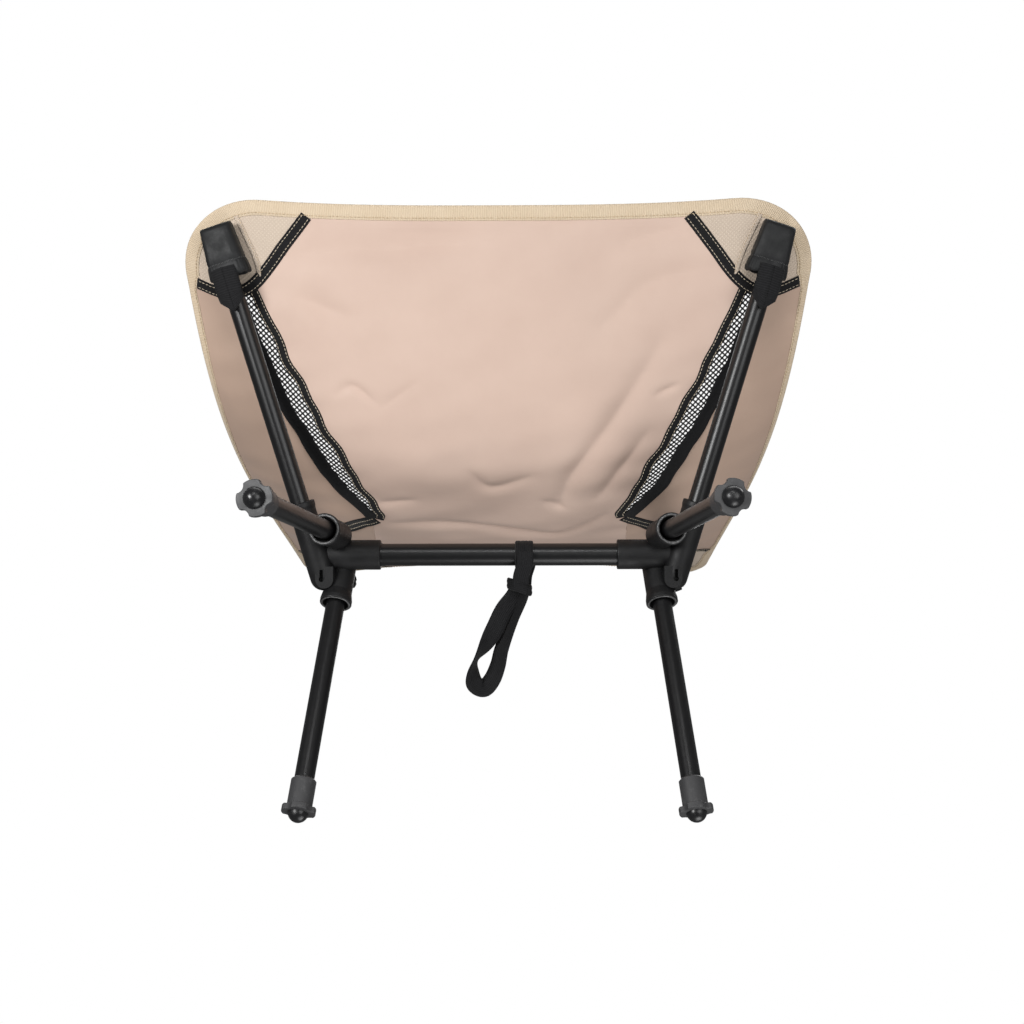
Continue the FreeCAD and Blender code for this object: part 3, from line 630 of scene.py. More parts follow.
# A lighter grey with dark speckles for the socket mouths: a painted highlight of the key light.
SOCKET_RIM_PAINTED_HIGHLIGHT = hard_look(
    "nylon_rim_painted_highlight", (0.16, 0.16, 0.16), 0.38, 0.7,
    ((700, 3.0, 0.7), 0.42, 0.58, 1.0, (0.035, 0.035, 0.036)), None, ((1500,), 0.12, 0.6))
FOOT = hard_look(
    "grey_foot_plastic", (0.042, 0.042, 0.044), 0.52, 0.5,
    ((160, 5.0, 0.7), 0.55, 0.75, 0.7, (0.10, 0.10, 0.10)),
    ((90,), 0.3, 0.7, 0.42, 0.62), ((1300,), 0.15, 0.5))
PAD = hard_look(
    "black_pad_rubber", (0.008, 0.008, 0.009), 0.3, 0.5,
    ((900, 4.0), 0.64, 0.72, 0.8, (0.06, 0.06, 0.058)),
    ((200,), 0.3, 0.7, 0.22, 0.42), ((500,), 0.08, 0.4))
BARE = bare_look()
ELASTIC = elastic_look()


def dress_frame():
    """Gives every carried-over node its material."""
    looks = [
        ("foot_pad", PAD), ("foot", FOOT), ("cord", ELASTIC), ("ferrule", BARE),
        ("pole_tip", NYLON), ("pole", TUBE), ("leg", TUBE), ("crossbar", TUBE), ("hub", NYLON)]
    for name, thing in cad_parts.items():
        material = next((look for word, look in looks if word in name), None)
        if material:
            thing.data.materials.clear()
            thing.data.materials.append(material)


# ---- panels
def panel(name, share, across, material, slot, *replaced):
    """A sewn panel over a grid of sling places, as thick as its cloth."""
    if across[0, -1] < across[0, 0]:
        share, across = share[:, ::-1], across[:, ::-1]
    uvs = cloth_coordinates(share, across)
    thing = make_object(name, sling(share, across), grid_faces(*share.shape), uvs)
    thicken(thing, PANEL_THICKNESS)
    return dress(thing, material, "frame", slot, *replaced)


def edge_across(share):
    """Where the rounded outline lies, as across, at a share."""
    down, _ = slopes(share, 0.9)
    _, sideways = slopes(share, 1.0)
    gap = np.minimum(share, 1 - share) * np.linalg.norm(down, axis=-1)
    into = np.clip(1 - gap / CORNER_RADIUS, 0, 1)
    inset = CORNER_RADIUS * (1 - np.sqrt(1 - into ** 2))
    return 1 - (inset + 0.3 * MM) / np.linalg.norm(sideways, axis=-1)


def panel_rows(first, last, spacing):
    """Rows of a panel, closer together where the outline's corners round off."""
    rows = set(np.linspace(first, last, int((last - first) / spacing)).round(5))
    corner = CORNER_SPAN * (1 - np.cos(np.linspace(0, math.pi / 2, 22)))
    if first < 0.01:
        rows.update(corner.round(5))
    if last > 0.99:
        rows.update((1 - corner).round(5))
    return np.array(sorted(rows))


def between(share, low, high, columns):
    """A grid with each row spread evenly between two across values."""
    steps = np.linspace(0, 1, columns)
    across = low[:, None] + (high - low)[:, None] * steps
    return np.broadcast_to(share[:, None], across.shape).copy(), across


def build_centre():
    share = panel_rows(0.0005, 0.9995, 0.0036)
    grid = between(share, -inner_seam(share, -1), inner_seam(share, 1), 150)
    return panel("sling_centre_cloth", *grid, SLING_FABRIC, "sling_fabric", "sling_centre")


def build_corner(end, side_name):
    side = SIDES[side_name]
    share = panel_rows(0.0005, CORNER_SEAM_SHARE, 0.004)
    if end == "back":
        share = 1 - share[::-1]
    low = inner_seam(share, side)
    grid = between(share, low * side, edge_across(share) * side, 44)
    node = f"sling_{end}_corner_{side_name}"
    return panel(node + "_cloth", *grid, CORNER_FABRIC, "corner_fabric", node)


def belt_share(step):
    return from_table(BELT_SEAM, step)


def build_side(end, side_name):
    """The panel between the mesh strip and the side edge; its darker cloth colour is painted shade.
    """
    side = SIDES[side_name]
    along = np.linspace(0, 1, 120)
    steps = np.linspace(0, 1, 44)
    if end == "seat":
        start, stop = CORNER_SEAM_SHARE, belt_share(steps)
    else:
        start, stop = belt_share(steps), 1 - CORNER_SEAM_SHARE
    share = start + (stop - start) * along[:, None]
    low = outer_seam(share[:, 0], side)[:, None]
    across = low + (edge_across(share) - low) * steps
    node = f"sling_{end}_side_{side_name}"
    return panel(node + "_cloth", share, across * side, SIDE_FABRIC_PAINTED_SHADE, "side_fabric", node)


def build_mesh_strip(end, side_name):
    """Open mesh: a net of diamond cells with a round hole in each."""
    side = SIDES[side_name]
    pitch = NET_PITCH
    first_place, last_place = np.interp(STRIP_ENDS[end], SHARE_STEPS, LENGTH_STEPS)
    angles = np.arange(8) * math.pi / 4
    outer = np.stack([np.cos(angles), np.sin(angles)], -1) * (pitch / 2)
    inner = outer * NET_HOLE
    outer[1::2] *= math.sqrt(0.5)
    inner[1::2] *= 0.86
    cell = np.array(grid_faces(2, 8, close_columns=True))
    vertices, faces = [], []
    for row in range(int((last_place - first_place) / (pitch / 2)) + 1):
        place = first_place + row * pitch / 2
        share = np.interp(place, LENGTH_STEPS, SHARE_STEPS)
        width = half_width(share)
        low = inner_seam(share, side) * width - 1.5 * MM
        high = outer_seam(share, side) * width + 1.5 * MM
        shift = (row % 2) * pitch / 2
        for column in range(math.ceil((low - shift) / pitch), int((high - shift) / pitch) + 1):
            centre = np.array([column * pitch + shift, place])
            faces.extend((cell + len(vertices)).tolist())
            vertices.extend(centre + outer)
            vertices.extend(centre + inner)
    flat = np.array(vertices)
    share = np.interp(flat[:, 1], LENGTH_STEPS, SHARE_STEPS)
    across = side * flat[:, 0] / half_width(share)
    node = f"sling_{end}_mesh_{side_name}"
    points = sling(share, across, 0.3 * MM)
    if side < 0:
        faces = [face[::-1] for face in faces]
    thing = make_object(node + "_net", points, faces, flat, smooth=False)
    face_outward(thing.data, weld=True)
    thicken(thing, 0.5 * MM)
    return dress(thing, MESH_THREADS, "frame", "mesh", node)


# ---- tapes, binding and stitches
TAPE_SECTION = [
    (-1.0, -0.25), (-0.94, -0.72), (-0.5, -0.85), (0.0, -0.88), (0.5, -0.85), (0.94, -0.72),
    (1.0, -0.25), (0.5, -0.12), (0.0, -0.10), (-0.5, -0.12)]


def tape_on_sling(name, route, widths, material=SEAM_TAPE, slot="seam_tape"):
    """A flat tape under the sling along a route, with widths in tape widths along the way."""
    share, across = route
    widths = TAPE_WIDTH * np.array(widths)
    reach = np.interp(np.linspace(0, 1, len(share)), np.linspace(0, 1, len(widths)), widths) / 2
    rings, uvs = [], []
    lengths = run_lengths(plain_sling(share, across))
    for offset, height in TAPE_SECTION:
        s, t = beside(share, across, reach * offset)
        rings.append(sling(s, t, height * MM))
        uvs.append(np.stack([lengths, reach * offset], -1))
    thing = rings_object(name, np.stack(rings, 1), np.stack(uvs, 1))
    return dress(thing, material, "frame", slot)


def stitches(starts, ends, outward, radius):
    """Short threads between pairs of points, as vertices and faces."""
    run = unit(ends - starts)
    side = unit(np.cross(run, outward))
    up = np.cross(side, run)
    vertices = []
    for share, size, lift in ((0.0, 0.45, -0.5), (0.5, 1.0, 0.35), (1.0, 0.45, -0.5)):
        centre = starts + (ends - starts) * share + outward * (lift * radius)
        for angle in turns(5):
            vertices.append(centre + (side * math.cos(angle) + up * math.sin(angle)) * radius * size)
    cloud = np.stack(vertices, 1)
    thread = grid_faces(3, 5, close_columns=True) + [[4, 3, 2, 1, 0], [10, 11, 12, 13, 14]]
    faces = [[index * 15 + v for v in face] for index in range(len(starts)) for face in thread]
    return cloud.reshape(-1, 3), faces


def stitch_row(route, offset, height, pitch, length, radius):
    """Threads along a route on the sling, on its lower face where height is negative."""
    line = np.stack(beside(*route, offset), -1)
    lengths = run_lengths(plain_sling(line[:, 0], line[:, 1]))
    begin = np.arange(1.2 * MM, lengths[-1] - length - 1 * MM, pitch)
    start, end = (at_lengths(wanted, lengths, line).T for wanted in (begin, begin + length))
    outward = sling_normal(*start) * (1 if height > 0 else -1)
    return stitches(sling(*start, height), sling(*end, height), outward, radius)


def joined(name, parts, material, slot, body="frame"):
    """One object from several sets of vertices and faces."""
    vertices, faces = [], []
    count = 0
    for points, polygons in parts:
        vertices.append(points)
        faces.extend([[v + count for v in polygon] for polygon in polygons])
        count += len(points)
    thing = make_object(name, np.vstack(vertices), faces, outward=True)
    return dress(thing, material, body, slot)


def place_at(end, side, places):
    """Places of the front left quarter, moved to one end and side."""
    return [(s if end == "seat" else 1 - s, t * side) for s, t in places]


def seam_routes(end, side_name):
    """The tape routes of one end and side: name, route and widths in tape widths."""
    side = SIDES[side_name]
    corner = place_at(end, side, CORNER_TAPE)
    strip = np.linspace(*STRIP_ENDS[end], 30)
    inner = list(zip(strip, inner_seam(strip, side) * side))
    outer = list(zip(strip, outer_seam(strip, side) * side))
    routes = [
        ("corner", route_on_sling(corner), (1, 1)),
        ("inner", route_on_sling(inner), (0.85, 0.85)),
        ("outer", route_on_sling(outer), (1, 1.2, 1.5, 1.3)),
    ]
    if end == "seat":
        steps = np.linspace(0, 0.965, 12)
        low = outer_seam(belt_share(0.0), side)
        belt = [(belt_share(k), side * (low + (1 - low) * k)) for k in steps]
        belt[0] = (belt[0][0], side * (low - 0.012))
        routes.append(("belt", route_on_sling(belt), (1.3, 1.9, 1)))
    return routes


def build_tapes(end):
    threads = []
    tapes = []
    for side_name in SIDES:
        for seam, route, widths in seam_routes(end, side_name):
            tapes.append(tape_on_sling(f"{end}_{seam}_tape_{side_name}", route, widths))
            for offset in () if seam == "outer" else TAPE_STITCH_OFFSETS:
                for height in TAPE_STITCH_HEIGHTS:
                    threads.append(stitch_row(route, offset, height, *TAPE_STITCH))
    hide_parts(end + "_tapes")
    tapes.append(joined(end + "_tape_stitches", threads, PALE_THREAD, "seam_tape"))
    return tapes


def edge_route(inset):
    """The left half of the outline, from front middle to top middle, moved inwards by inset."""
    share, across = [], []
    straight = np.linspace(0, 1 - CORNER_RADIUS / HALF_WIDTH, 80)
    angles = np.linspace(0, math.pi / 2, 20)[1:]
    radius = CORNER_RADIUS - inset
    for at_top in (False, True):
        edge = 1.0 if at_top else 0.0
        sign = -1 if at_top else 1
        s = [edge + sign * inset / np.linalg.norm(slopes(edge, t)[0]) for t in straight]
        t = list(straight)
        down = np.linalg.norm(slopes(edge, 0.93)[0])
        sideways = np.linalg.norm(slopes(edge, 1.0)[1])
        for angle in angles:
            s.append(edge + sign * (CORNER_RADIUS - radius * math.cos(angle)) / down)
            t.append(1 - (CORNER_RADIUS - radius * math.sin(angle)) / sideways)
        share.append(s if not at_top else s[::-1])
        across.append(t if not at_top else t[::-1])
    side_share = np.linspace(share[0][-1], share[1][0], 202)[1:-1]
    narrowing = np.clip((np.minimum(side_share, 1 - side_share) - 0.10) / 0.03, 0, 1)
    side_inset = inset * (1 - (1 - SIDE_BINDING) * narrowing)
    side_across = 1 - side_inset / np.linalg.norm(slopes(side_share, 1.0)[1], axis=-1)
    return (np.concatenate([share[0], side_share, share[1]]),
            np.concatenate([across[0], side_across, across[1]]))


def whole_edge(inset):
    """The closed outline: the left half, then the right half back to the front."""
    share, across = edge_route(inset)
    return np.concatenate([share, share[-2::-1]]), np.concatenate([across, -across[-2::-1]])


BINDING_SECTION = [
    (12.0, -0.25), (11.6, -0.55), (8.0, -0.62), (4.0, -0.68), (0.8, -0.72), (-0.6, -0.35),
    (-1.0, 0.5), (-0.6, 1.35), (0.8, 1.72), (4.0, 1.68), (8.0, 1.62), (11.6, 1.55), (12.0, 1.25)]


def thread_ends(points, spare, pitch=3 * MM, length=2.2 * MM):
    """Where the threads along a line begin and end; points may carry more than x, y and z."""
    lengths = run_lengths(points[:, :3])
    begin = np.arange(0, lengths[-1] - spare, pitch)
    return [at_lengths(wanted, lengths, points) for wanted in (begin, begin + length)]


def build_binding():
    """A folded tape round the whole outline, with a row of stitches on each face."""
    insets, heights = np.array(BINDING_SECTION).T * MM
    rings = [sling(*whole_edge(inset), height) for inset, height in zip(insets, heights)]
    faces = grid_faces(len(rings[0]), len(rings))
    uvs = band_uvs(run_lengths(rings[3]), insets)
    binding = make_object("sling_binding_tape", np.stack(rings, 1), faces, uvs)
    face_outward(binding.data, weld=True)
    thicken(binding, 0.35 * MM, -1.0)
    dress(binding, BINDING_TAPE, "frame", "binding_tape", "sling_binding")
    share, across = whole_edge(9.8 * MM)
    rows = []
    for height in (-0.98 * MM, 1.98 * MM):
        points = np.column_stack([sling(share, across, height), share, across])
        starts, ends = thread_ends(points, 3 * MM)
        outward = sling_normal(starts[:, 3], starts[:, 4]) * (1 if height > 0 else -1)
        rows.append(stitches(starts[:, :3], ends[:, :3], outward, 0.3 * MM))
    return [binding, joined("binding_stitches", rows, GOLD_THREAD, "binding_tape")]


def handed(end, side_name):
    """The sign that mirrors what lies beside a pole between the four corners."""
    return SIDES[side_name] * (1 if end == "seat" else -1)


def build_corner_seam(end, side_name):
    """The corner panel's turned hem along the pocket, with its own small stitches."""
    route = route_on_sling(place_at(end, SIDES[side_name], CORNER_HEM))
    name = f"{end}_corner_hem"
    hem = tape_on_sling(f"{name}_{side_name}", route, (0.45, 0.45), CORNER_FABRIC, "corner_fabric")
    row = stitch_row(route, -1.2 * MM * handed(end, side_name), -0.95 * MM, *HEM_STITCH)
    return [hem, joined(f"{name}_stitches_{side_name}", [row], GOLD_THREAD, "corner_fabric")]


# ---- pockets and pulls
def pole_frame(end, side_name):
    """Origin at the pocket's mouth, with outward, upward and sideways directions."""
    root, tip = (on_side(point, side_name) for point in POLES[end])
    share = 0.05 if end == "seat" else 0.95
    outward = unit(tip - root)
    upward = sling_normal(share, 0.86 * SIDES[side_name])
    upward = unit(upward - outward * (upward @ outward))
    sideways = np.cross(outward, upward)
    mouth = tip + outward * (POCKET_PAST_TIP - POCKET_LENGTH)
    return mouth, outward, upward, sideways


def rounded(angle, power):
    """A rounded rectangle's unit outline."""
    c, s = np.cos(angle), np.sin(angle)
    return np.sign(c) * np.abs(c) ** (2 / power), np.sign(s) * np.abs(s) ** (2 / power)


# The pocket's rings: place along it (of POCKET_LAST), width, depth and ruffle.
POCKET_LAST = 39.3
POCKET_HEM_RING = 10
POCKET_RINGS = [
    (11.0, 0.74, 0.66, 0), (6.0, 0.72, 0.66, 0), (1.5, 0.74, 0.70, 0), (0.0, 0.84, 0.84, 0.4),
    (-0.5, 0.93, 0.95, 0.8), (0.3, 1.00, 1.03, 1.0), (2.0, 1.02, 1.06, 1.0), (4.5, 1.02, 1.06, 1.0),
    (7.5, 1.01, 1.04, 1.0), (9.6, 0.99, 1.00, 0.9), (10.6, 0.955, 0.95, 0.7),
    (11.4, 0.965, 0.96, 0.5), (13.0, 0.985, 1.00, 0.3), (17.0, 0.98, 1.0, 0.1),
    (22.0, 0.97, 0.99, 0), (27.0, 0.965, 0.97, 0), (32.0, 0.96, 0.95, 0), (35.5, 0.955, 0.90, 0),
    (37.6, 0.95, 0.80, 0), (38.8, 0.93, 0.62, 0), (39.2, 0.90, 0.40, 0), (39.3, 0.60, 0.2, 0)]


def build_pocket(end, side_name):
    """Sewn sleeve over a pole tip: gathered hem at the mouth, flat seam at the tip."""
    mouth, outward, upward, sideways = pole_frame(end, side_name)
    angle = turns(96)
    random = np.random.default_rng(12 if side_name == "left" else 13)
    phases = random.uniform(0, 2 * math.pi, 4)
    gather = (np.sin(angle * 26 + phases[0]) + 0.7 * np.sin(angle * 37 + phases[1])
              + 0.6 * np.sin(angle * 17 + phases[2]))
    folds = np.sin(angle * 3 + phases[3]) + 0.6 * np.sin(angle * 5 + phases[0])
    across, depth = rounded(angle, 3.2)
    rings = []
    for place, wide, deep, ruffle in POCKET_RINGS:
        share = place / POCKET_LAST
        bulge = 1 + 0.014 * ruffle * gather
        slack = 0.5 * MM * folds * math.sin(math.pi * np.clip(place / 39, 0, 1))
        width = POCKET_WIDTHS[0] + (POCKET_WIDTHS[1] - POCKET_WIDTHS[0]) * share
        w = POCKET_INWARD * handed(end, side_name) + across * width / 2 * wide * bulge
        d = depth * (POCKET_DEPTH / 2 * deep * bulge + slack)
        lift = share * POCKET_LENGTH + 0.35 * MM * ruffle * np.sin(angle * 9 + phases[1])
        rings.append(mouth + np.outer(lift, outward) + np.outer(w, sideways) + np.outer(d, upward))
    node = f"{end}_pocket_{side_name}"
    faces = grid_faces(len(rings), len(angle), close_columns=True)
    faces.append(list(range((len(rings) - 1) * len(angle), len(rings) * len(angle))))
    thing = make_object(node + "_cloth", np.array(rings), faces, outward=True)
    dress(thing, POCKET_CLOTH, "frame", "pocket_fabric", node)
    return [thing, hem_stitches(node, rings[POCKET_HEM_RING])]


def hem_stitches(node, ring):
    """A row of black threads round the top of the pocket's hem."""
    starts, ends = thread_ends(np.vstack([ring, ring[:1]]), 2.4 * MM)
    outward = unit(starts - ring.mean(0))
    lift = outward * 0.2 * MM
    row = stitches(starts + lift, ends + lift, outward, 0.4 * MM)
    return joined(node + "_hem_stitches", [row], BLACK_THREAD, "pocket_fabric")


RIBBON_SECTION = [
    (-1.0, 0.0), (-0.97, 0.5), (-0.5, 0.55), (0.0, 0.55), (0.5, 0.55), (0.97, 0.5),
    (1.0, 0.0), (0.97, -0.5), (0.5, -0.55), (0.0, -0.55), (-0.5, -0.55), (-0.97, -0.5)]


def ribbon(name, route, width_directions, width, thickness, material, body, curl):
    """A flat woven band: route points, the direction its width takes, and a slight curl."""
    sideways = unit(width_directions)
    run = unit(np.gradient(route, axis=0))
    sideways = unit(sideways - run * np.sum(sideways * run, axis=1, keepdims=True))
    normal = np.cross(run, sideways)
    across, heights = np.array(RIBBON_SECTION).T
    reaches = width / 2 * across
    rings = []
    for reach, height, bow in zip(reaches, heights, curl * (across ** 2 - 0.4)):
        rings.append(route + sideways * reach + normal * (thickness * height + bow))
    thing = rings_object(name, np.stack(rings, 1), band_uvs(run_lengths(route), reaches))
    return dress(thing, material, body, "webbing")


def build_pull(end, side_name):
    """Webbing tab folded to a point below the pole: two bands meeting at the tip."""
    mouth, outward, upward, sideways = pole_frame(end, side_name)
    below = -(POLE_RADIUS + 2.3 * MM)
    bands = []
    for index, lean in enumerate((-1, 1)):
        steps = np.linspace(0, 1, 30)
        along = 8 * MM - steps * 38 * MM
        shift = lean * (5.6 * MM - 0.6 * MM * steps)
        drop = below - 1.2 * MM * np.sin(steps * math.pi) - index * 0.5 * MM - steps * 1.0 * MM
        route = (mouth + np.outer(along, outward) + np.outer(shift, sideways)
                 + np.outer(drop, upward))
        tilt = sideways + upward * (0.28 * lean)
        directions = np.broadcast_to(tilt, route.shape)
        bands.append(ribbon(f"{end}_pull_{'ab'[index]}_{side_name}", route, directions,
                            12 * MM, 1.1 * MM, PULL_WEBBING, "frame", 0.4 * MM))
    for band in bands:
        point_the_end(band, mouth, outward, sideways)
    return bands


def point_the_end(band, mouth, outward, sideways):
    """Slants a band's lower end, so that the two bands meet in a point."""
    for vertex in band.data.vertices:
        place = np.array(vertex.co) - mouth
        lowered = np.clip((-(place @ outward) - 14 * MM) / (16 * MM), 0, 1)
        shorter = lowered * abs(place @ sideways) * 0.95
        vertex.co = Vector(np.array(vertex.co) + outward * shorter)


# ---- hang strap
STRAP_DOWN = np.array([0, math.cos(STRAP_DROP), -math.sin(STRAP_DROP)])
STRAP_BEHIND = np.array([0, math.sin(STRAP_DROP), math.cos(STRAP_DROP)])

# Places of the strap in millimetres: sideways and down in its hanging plane from the crossbar's
# centre, and behind that plane; then how many degrees the band is turned out of that plane.
STRAP_NECK = [
    ((2, -3, -13), 0), ((1, 8, -12.5), 5), ((-2, 18, -8), 10), ((-3, 29, -3), 10)]
STRAP_LOOP = [
    ((-3, 26, 1.5), 15), ((-8, 36, 3), 10), ((-17, 48, 4), 5), ((-25, 64, 3), 10), ((-33, 77, 0), 45),
    ((-41, 89, -2), 78), ((-43.5, 100, -2), 55), ((-42, 110, 0), 25), ((-34, 114, 3), 20),
    ((-27, 107, 5), 25), ((-22, 95, 5), 35), ((-19, 82, 4), 42), ((-14, 68, 3), 50),
    ((-8, 53, 2), 55), ((-2, 38, 1), 50), ((0, 27, 0), 40)]


def strap_point(sideways, down, behind):
    """A point of the hanging strap, from millimetres."""
    start = HUB_CENTRE + np.array([STRAP_X + sideways * MM, 0, 0])
    return start + STRAP_DOWN * down * MM + STRAP_BEHIND * behind * MM


def strap_ribbon(name, stations, width):
    points = np.array([strap_point(*place) for place, _ in stations])
    degrees = np.array([[turn] for _, turn in stations])
    line = through(points, 14)
    turn = np.radians(through(degrees, 14))
    flat = unit(np.cross(unit(np.gradient(line, axis=0)), STRAP_BEHIND))
    directions = flat * np.cos(turn) + STRAP_BEHIND * np.sin(turn)
    return ribbon(name, line, directions, width, 1.2 * MM, STRAP_WEBBING, "hang_strap", 0.8 * MM)


def build_strap():
    loop = strap_ribbon("hang_strap_loop", STRAP_LOOP, STRAP_WIDTH)
    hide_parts("hang_strap")
    strap_ribbon("hang_strap_neck_front", STRAP_NECK, 14 * MM)
    back = [((a + 3, b, -c * 0.8), turn) for (a, b, c), turn in STRAP_NECK]
    strap_ribbon("hang_strap_neck_back", back, 13 * MM)
    wrap_band("hang_strap_wrap_a", -2.5, 9.5)
    wrap_band("hang_strap_wrap_b", 4.0, 8.5)
    knot()


def closed_band(name, rings, reaches, step):
    """A closed turn of the strap's webbing, from a ring of points for each reach across it."""
    grid = np.stack(rings, 1)
    uvs = band_uvs(np.arange(len(grid)) * step, reaches)
    thing = rings_object(name, grid, uvs, close_rows=True)
    dress(thing, STRAP_WEBBING, "hang_strap", "webbing")


WRAP_SECTION = [
    (-1, 0), (-0.8, 0.9), (-0.3, 1.15), (0, 0.85), (0.35, 1.1), (0.8, 0.9), (1, 0), (0, -0.3)]
KNOT_SECTION = [
    (-1, 0), (-0.85, 0.7), (-0.4, 1.0), (0, 0.8), (0.4, 1.05), (0.85, 0.7), (1, 0), (0, -0.6)]


def wrap_band(name, shift, width):
    """A closed band round the crossbar, slightly gathered; shift and width in millimetres."""
    radius = CROSSBAR_RADIUS / MM + 1.2
    points = np.array([strap_point(shift, radius * math.cos(a), radius * math.sin(a))
                       for a in turns(48)])
    radial = unit(points - points.mean(0))
    axis = np.array([1.0, 0, 0])
    across, heights = np.array(WRAP_SECTION).T
    reaches = across * width * MM / 2
    rings = [points + axis * reach + radial * (1.1 * MM * height)
             for reach, height in zip(reaches, heights)]
    closed_band(name, rings, reaches, 1.4 * MM)


def knot():
    """The webbing's own turn round the neck, above the loop."""
    angles = turns(40)
    rings = []
    for along, height in KNOT_SECTION:
        wide = 9.3 + 1.5 * height + 0.5 * np.sin(3 * angles)
        deep = 5.2 + 1.5 * height
        down = 27.5 + along * 5.0 + 3.0 * np.cos(angles)
        places = zip(-3.5 + wide * np.cos(angles), down, deep * np.sin(angles))
        rings.append([strap_point(*place) for place in places])
    reaches = np.array(KNOT_SECTION)[:, 0] * 5 * MM
    closed_band("hang_strap_knot", rings, reaches, angles[1] * 8 * MM)


# ---- stretched cords
def leg_socket(end, side_name, count):
    """The middle of a leg socket's mouth, the way out of it, and a unit circle across it."""
    mouth, foot = (on_side(point, side_name) for point in LEG_SOCKETS[end])
    out = unit(foot - mouth)
    side = unit(np.cross(out, [1, 0, 0]))
    angles = turns(count)
    circle = np.outer(np.cos(angles), side) + np.outer(np.sin(angles), np.cross(side, out))
    return mouth, out, circle


def build_leg_cord(end, side_name):
    """The elastic between the hub and a leg: it lengthens as the leg is pulled out."""
    mouth, out, circle = leg_socket(end, side_name, 12)
    floor = mouth - out * (LEG_INSERTION + 0.15 * MM)
    rings = [floor + out * step + circle * 1.6 * MM for step in np.linspace(-3 * MM, 3 * MM, 25)]
    thing = rings_object(f"{end}_leg_elastic_{side_name}", np.array(rings))
    thing.data.materials.append(ELASTIC)
    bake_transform(thing)


RIM_SECTION = [(10.8, -0.3), (10.9, 0.15), (11.7, 0.28), (12.5, 0.15), (12.6, -0.3)]


def build_socket_rim(end, side_name):
    """The face of a leg socket's mouth, in lighter grey with dark speckles: a painted highlight."""
    mouth, out, circle = leg_socket(end, side_name, 72)
    rings = [mouth + circle * radius * MM + out * height * MM for radius, height in RIM_SECTION]
    thing = rings_object(f"{end}_socket_rim_{side_name}", np.stack(rings, 1), close_rows=True)
    dress(thing, SOCKET_RIM_PAINTED_HIGHLIGHT, "frame", "moulded_nylon")


# ---- stage, lights and camera
def build_stage():
    """A pale floor that hides nothing from below."""
    size = 12.0
    corners = [(-size, -size, 0), (size, -size, 0), (size, size, 0), (-size, size, 0)]
    floor = make_object("floor", np.array(corners) - [0, 0, 0.0006], [[0, 1, 2, 3]], smooth=False)
    look = Look("pale_floor", (0.82, 0.82, 0.81), 0.7)
    below = look.node("ShaderNodeNewGeometry").outputs["Backfacing"]
    clear = look.node("ShaderNodeBsdfTransparent").outputs[0]
    mix = look.node("ShaderNodeMixShader", {0: below, 1: look.shader.outputs[0], 2: clear})
    look.link(mix.outputs[0], look.tree.nodes["Material Output"].inputs["Surface"])
    floor.data.materials.append(look.material)
    floor.visible_shadow = False
    floor.visible_diffuse = False
    floor.visible_glossy = False


def build_world():
    """Soft grey light all round, with plain white seen behind the object."""
    world = bpy.data.worlds.new("studio")
    bpy.context.scene.world = world
    world.use_nodes = True
    tree = world.node_tree
    light = tree.nodes["Background"]
    seen = tree.nodes.new("ShaderNodeBackground")
    for background, strength in ((light, 0.16), (seen, 1.0)):
        background.inputs["Color"].default_value = (1, 1, 1, 1)
        background.inputs["Strength"].default_value = strength
    path = tree.nodes.new("ShaderNodeLightPath")
    mix = tree.nodes.new("ShaderNodeMixShader")
    tree.links.new(path.outputs["Is Camera Ray"], mix.inputs[0])
    tree.links.new(light.outputs[0], mix.inputs[1])
    tree.links.new(seen.outputs[0], mix.inputs[2])
    tree.links.new(mix.outputs[0], tree.nodes["World Output"].inputs["Surface"])


def soft_light(name, place, target, size, power):
    data = bpy.data.lights.new(name, "AREA")
    data.shape = "RECTANGLE"
    data.size, data.size_y = size
    data.energy = power
    lamp = add_object(name, data)
    lamp.location = place
    direction = Vector(target) - Vector(place)
    lamp.rotation_euler = direction.to_track_quat("-Z", "Y").to_euler()


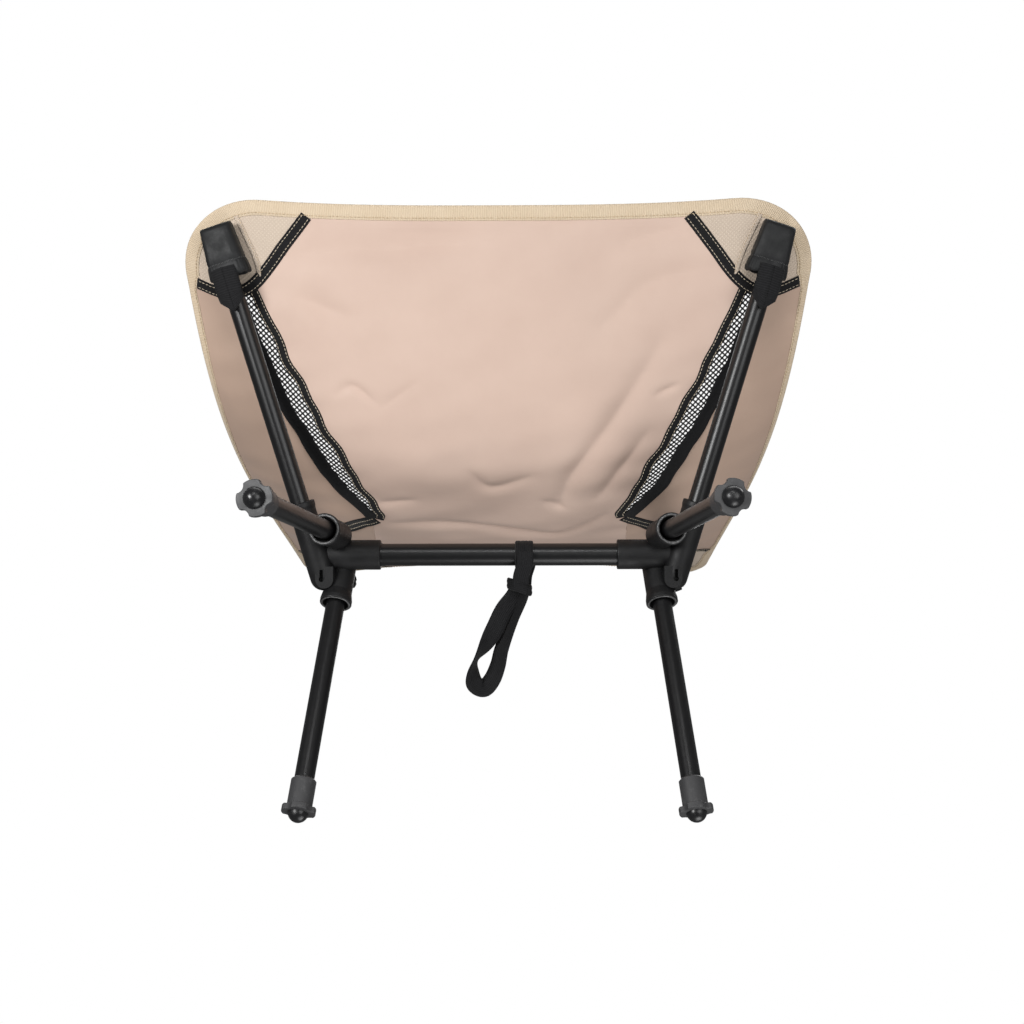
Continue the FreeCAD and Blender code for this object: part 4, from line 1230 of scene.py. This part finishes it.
def build_lights():
    seat = (0, -0.05, 0.25)
    soft_light("front_soft_box", (-0.95, -0.85, -0.75), seat, (0.40, 0.60), 17)
    soft_light("rear_soft_box", (0.5, 1.0, -0.9), seat, (0.9, 0.9), 11)
    soft_light("low_front_soft_box", (0.0, -1.25, -0.40), (0, 0, 0.2), (0.5, 0.15), 3)
    soft_light("right_soft_box", (0.9, -0.9, -0.9), seat, (1.0, 1.0), 10)
    soft_light("overhead_soft_box", (0.3, -0.4, 3.0), (0, 0, 0.3), (4.0, 4.0), 130)


def camera_axes():
    cos_e, sin_e = math.cos(CAMERA_BELOW), math.sin(CAMERA_BELOW)
    cos_y, sin_y = math.cos(CAMERA_YAW), math.sin(CAMERA_YAW)
    right = np.array([cos_y, -sin_y, 0])
    up = np.array([-sin_e * sin_y, -sin_e * cos_y, cos_e])
    forward = np.array([cos_e * sin_y, cos_e * cos_y, sin_e])
    return right, up, forward


def build_camera():
    right, up, forward = camera_axes()
    place = HUB_CENTRE - CAMERA_OFFSET @ np.array([right, up, forward])
    cos_r, sin_r = math.cos(CAMERA_ROLL), math.sin(CAMERA_ROLL)
    turned_right = right * cos_r - up * sin_r
    turned_up = right * sin_r + up * cos_r
    data = bpy.data.cameras.new("camera")
    data.lens = CAMERA_LENS
    data.sensor_width = 36.0
    camera = add_object("camera", data)
    turn = Matrix([turned_right, turned_up, -forward]).transposed()
    camera.matrix_world = Matrix.Translation(place) @ turn.to_4x4()
    bpy.context.scene.camera = camera
    bpy.context.scene.view_settings.view_transform = "Standard"


def build_sling():
    """Every piece of the sling: its panels and its trims."""
    centre = build_centre()
    trims = build_binding()
    panels = {"corner": build_corner, "side": build_side, "mesh": build_mesh_strip}
    for end in FLAT_SIZES:
        trims.extend(build_tapes(end))
        for side_name in SIDES:
            trims.extend(build_pocket(end, side_name))
            pulls = build_pull(end, side_name)
            if side_name == "left":
                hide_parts(end + "_pulls")
            trims.extend(pulls)
            trims.extend(build_corner_seam(end, side_name))
            for kind, build in panels.items():
                build(end, side_name)


build_camera()
build_world()
build_lights()
build_stage()
dress_frame()
build_sling()
build_strap()
for leg_end in LEG_SOCKETS:
    for leg_side in SIDES:
        build_leg_cord(leg_end, leg_side)
        build_socket_rim(leg_end, leg_side)
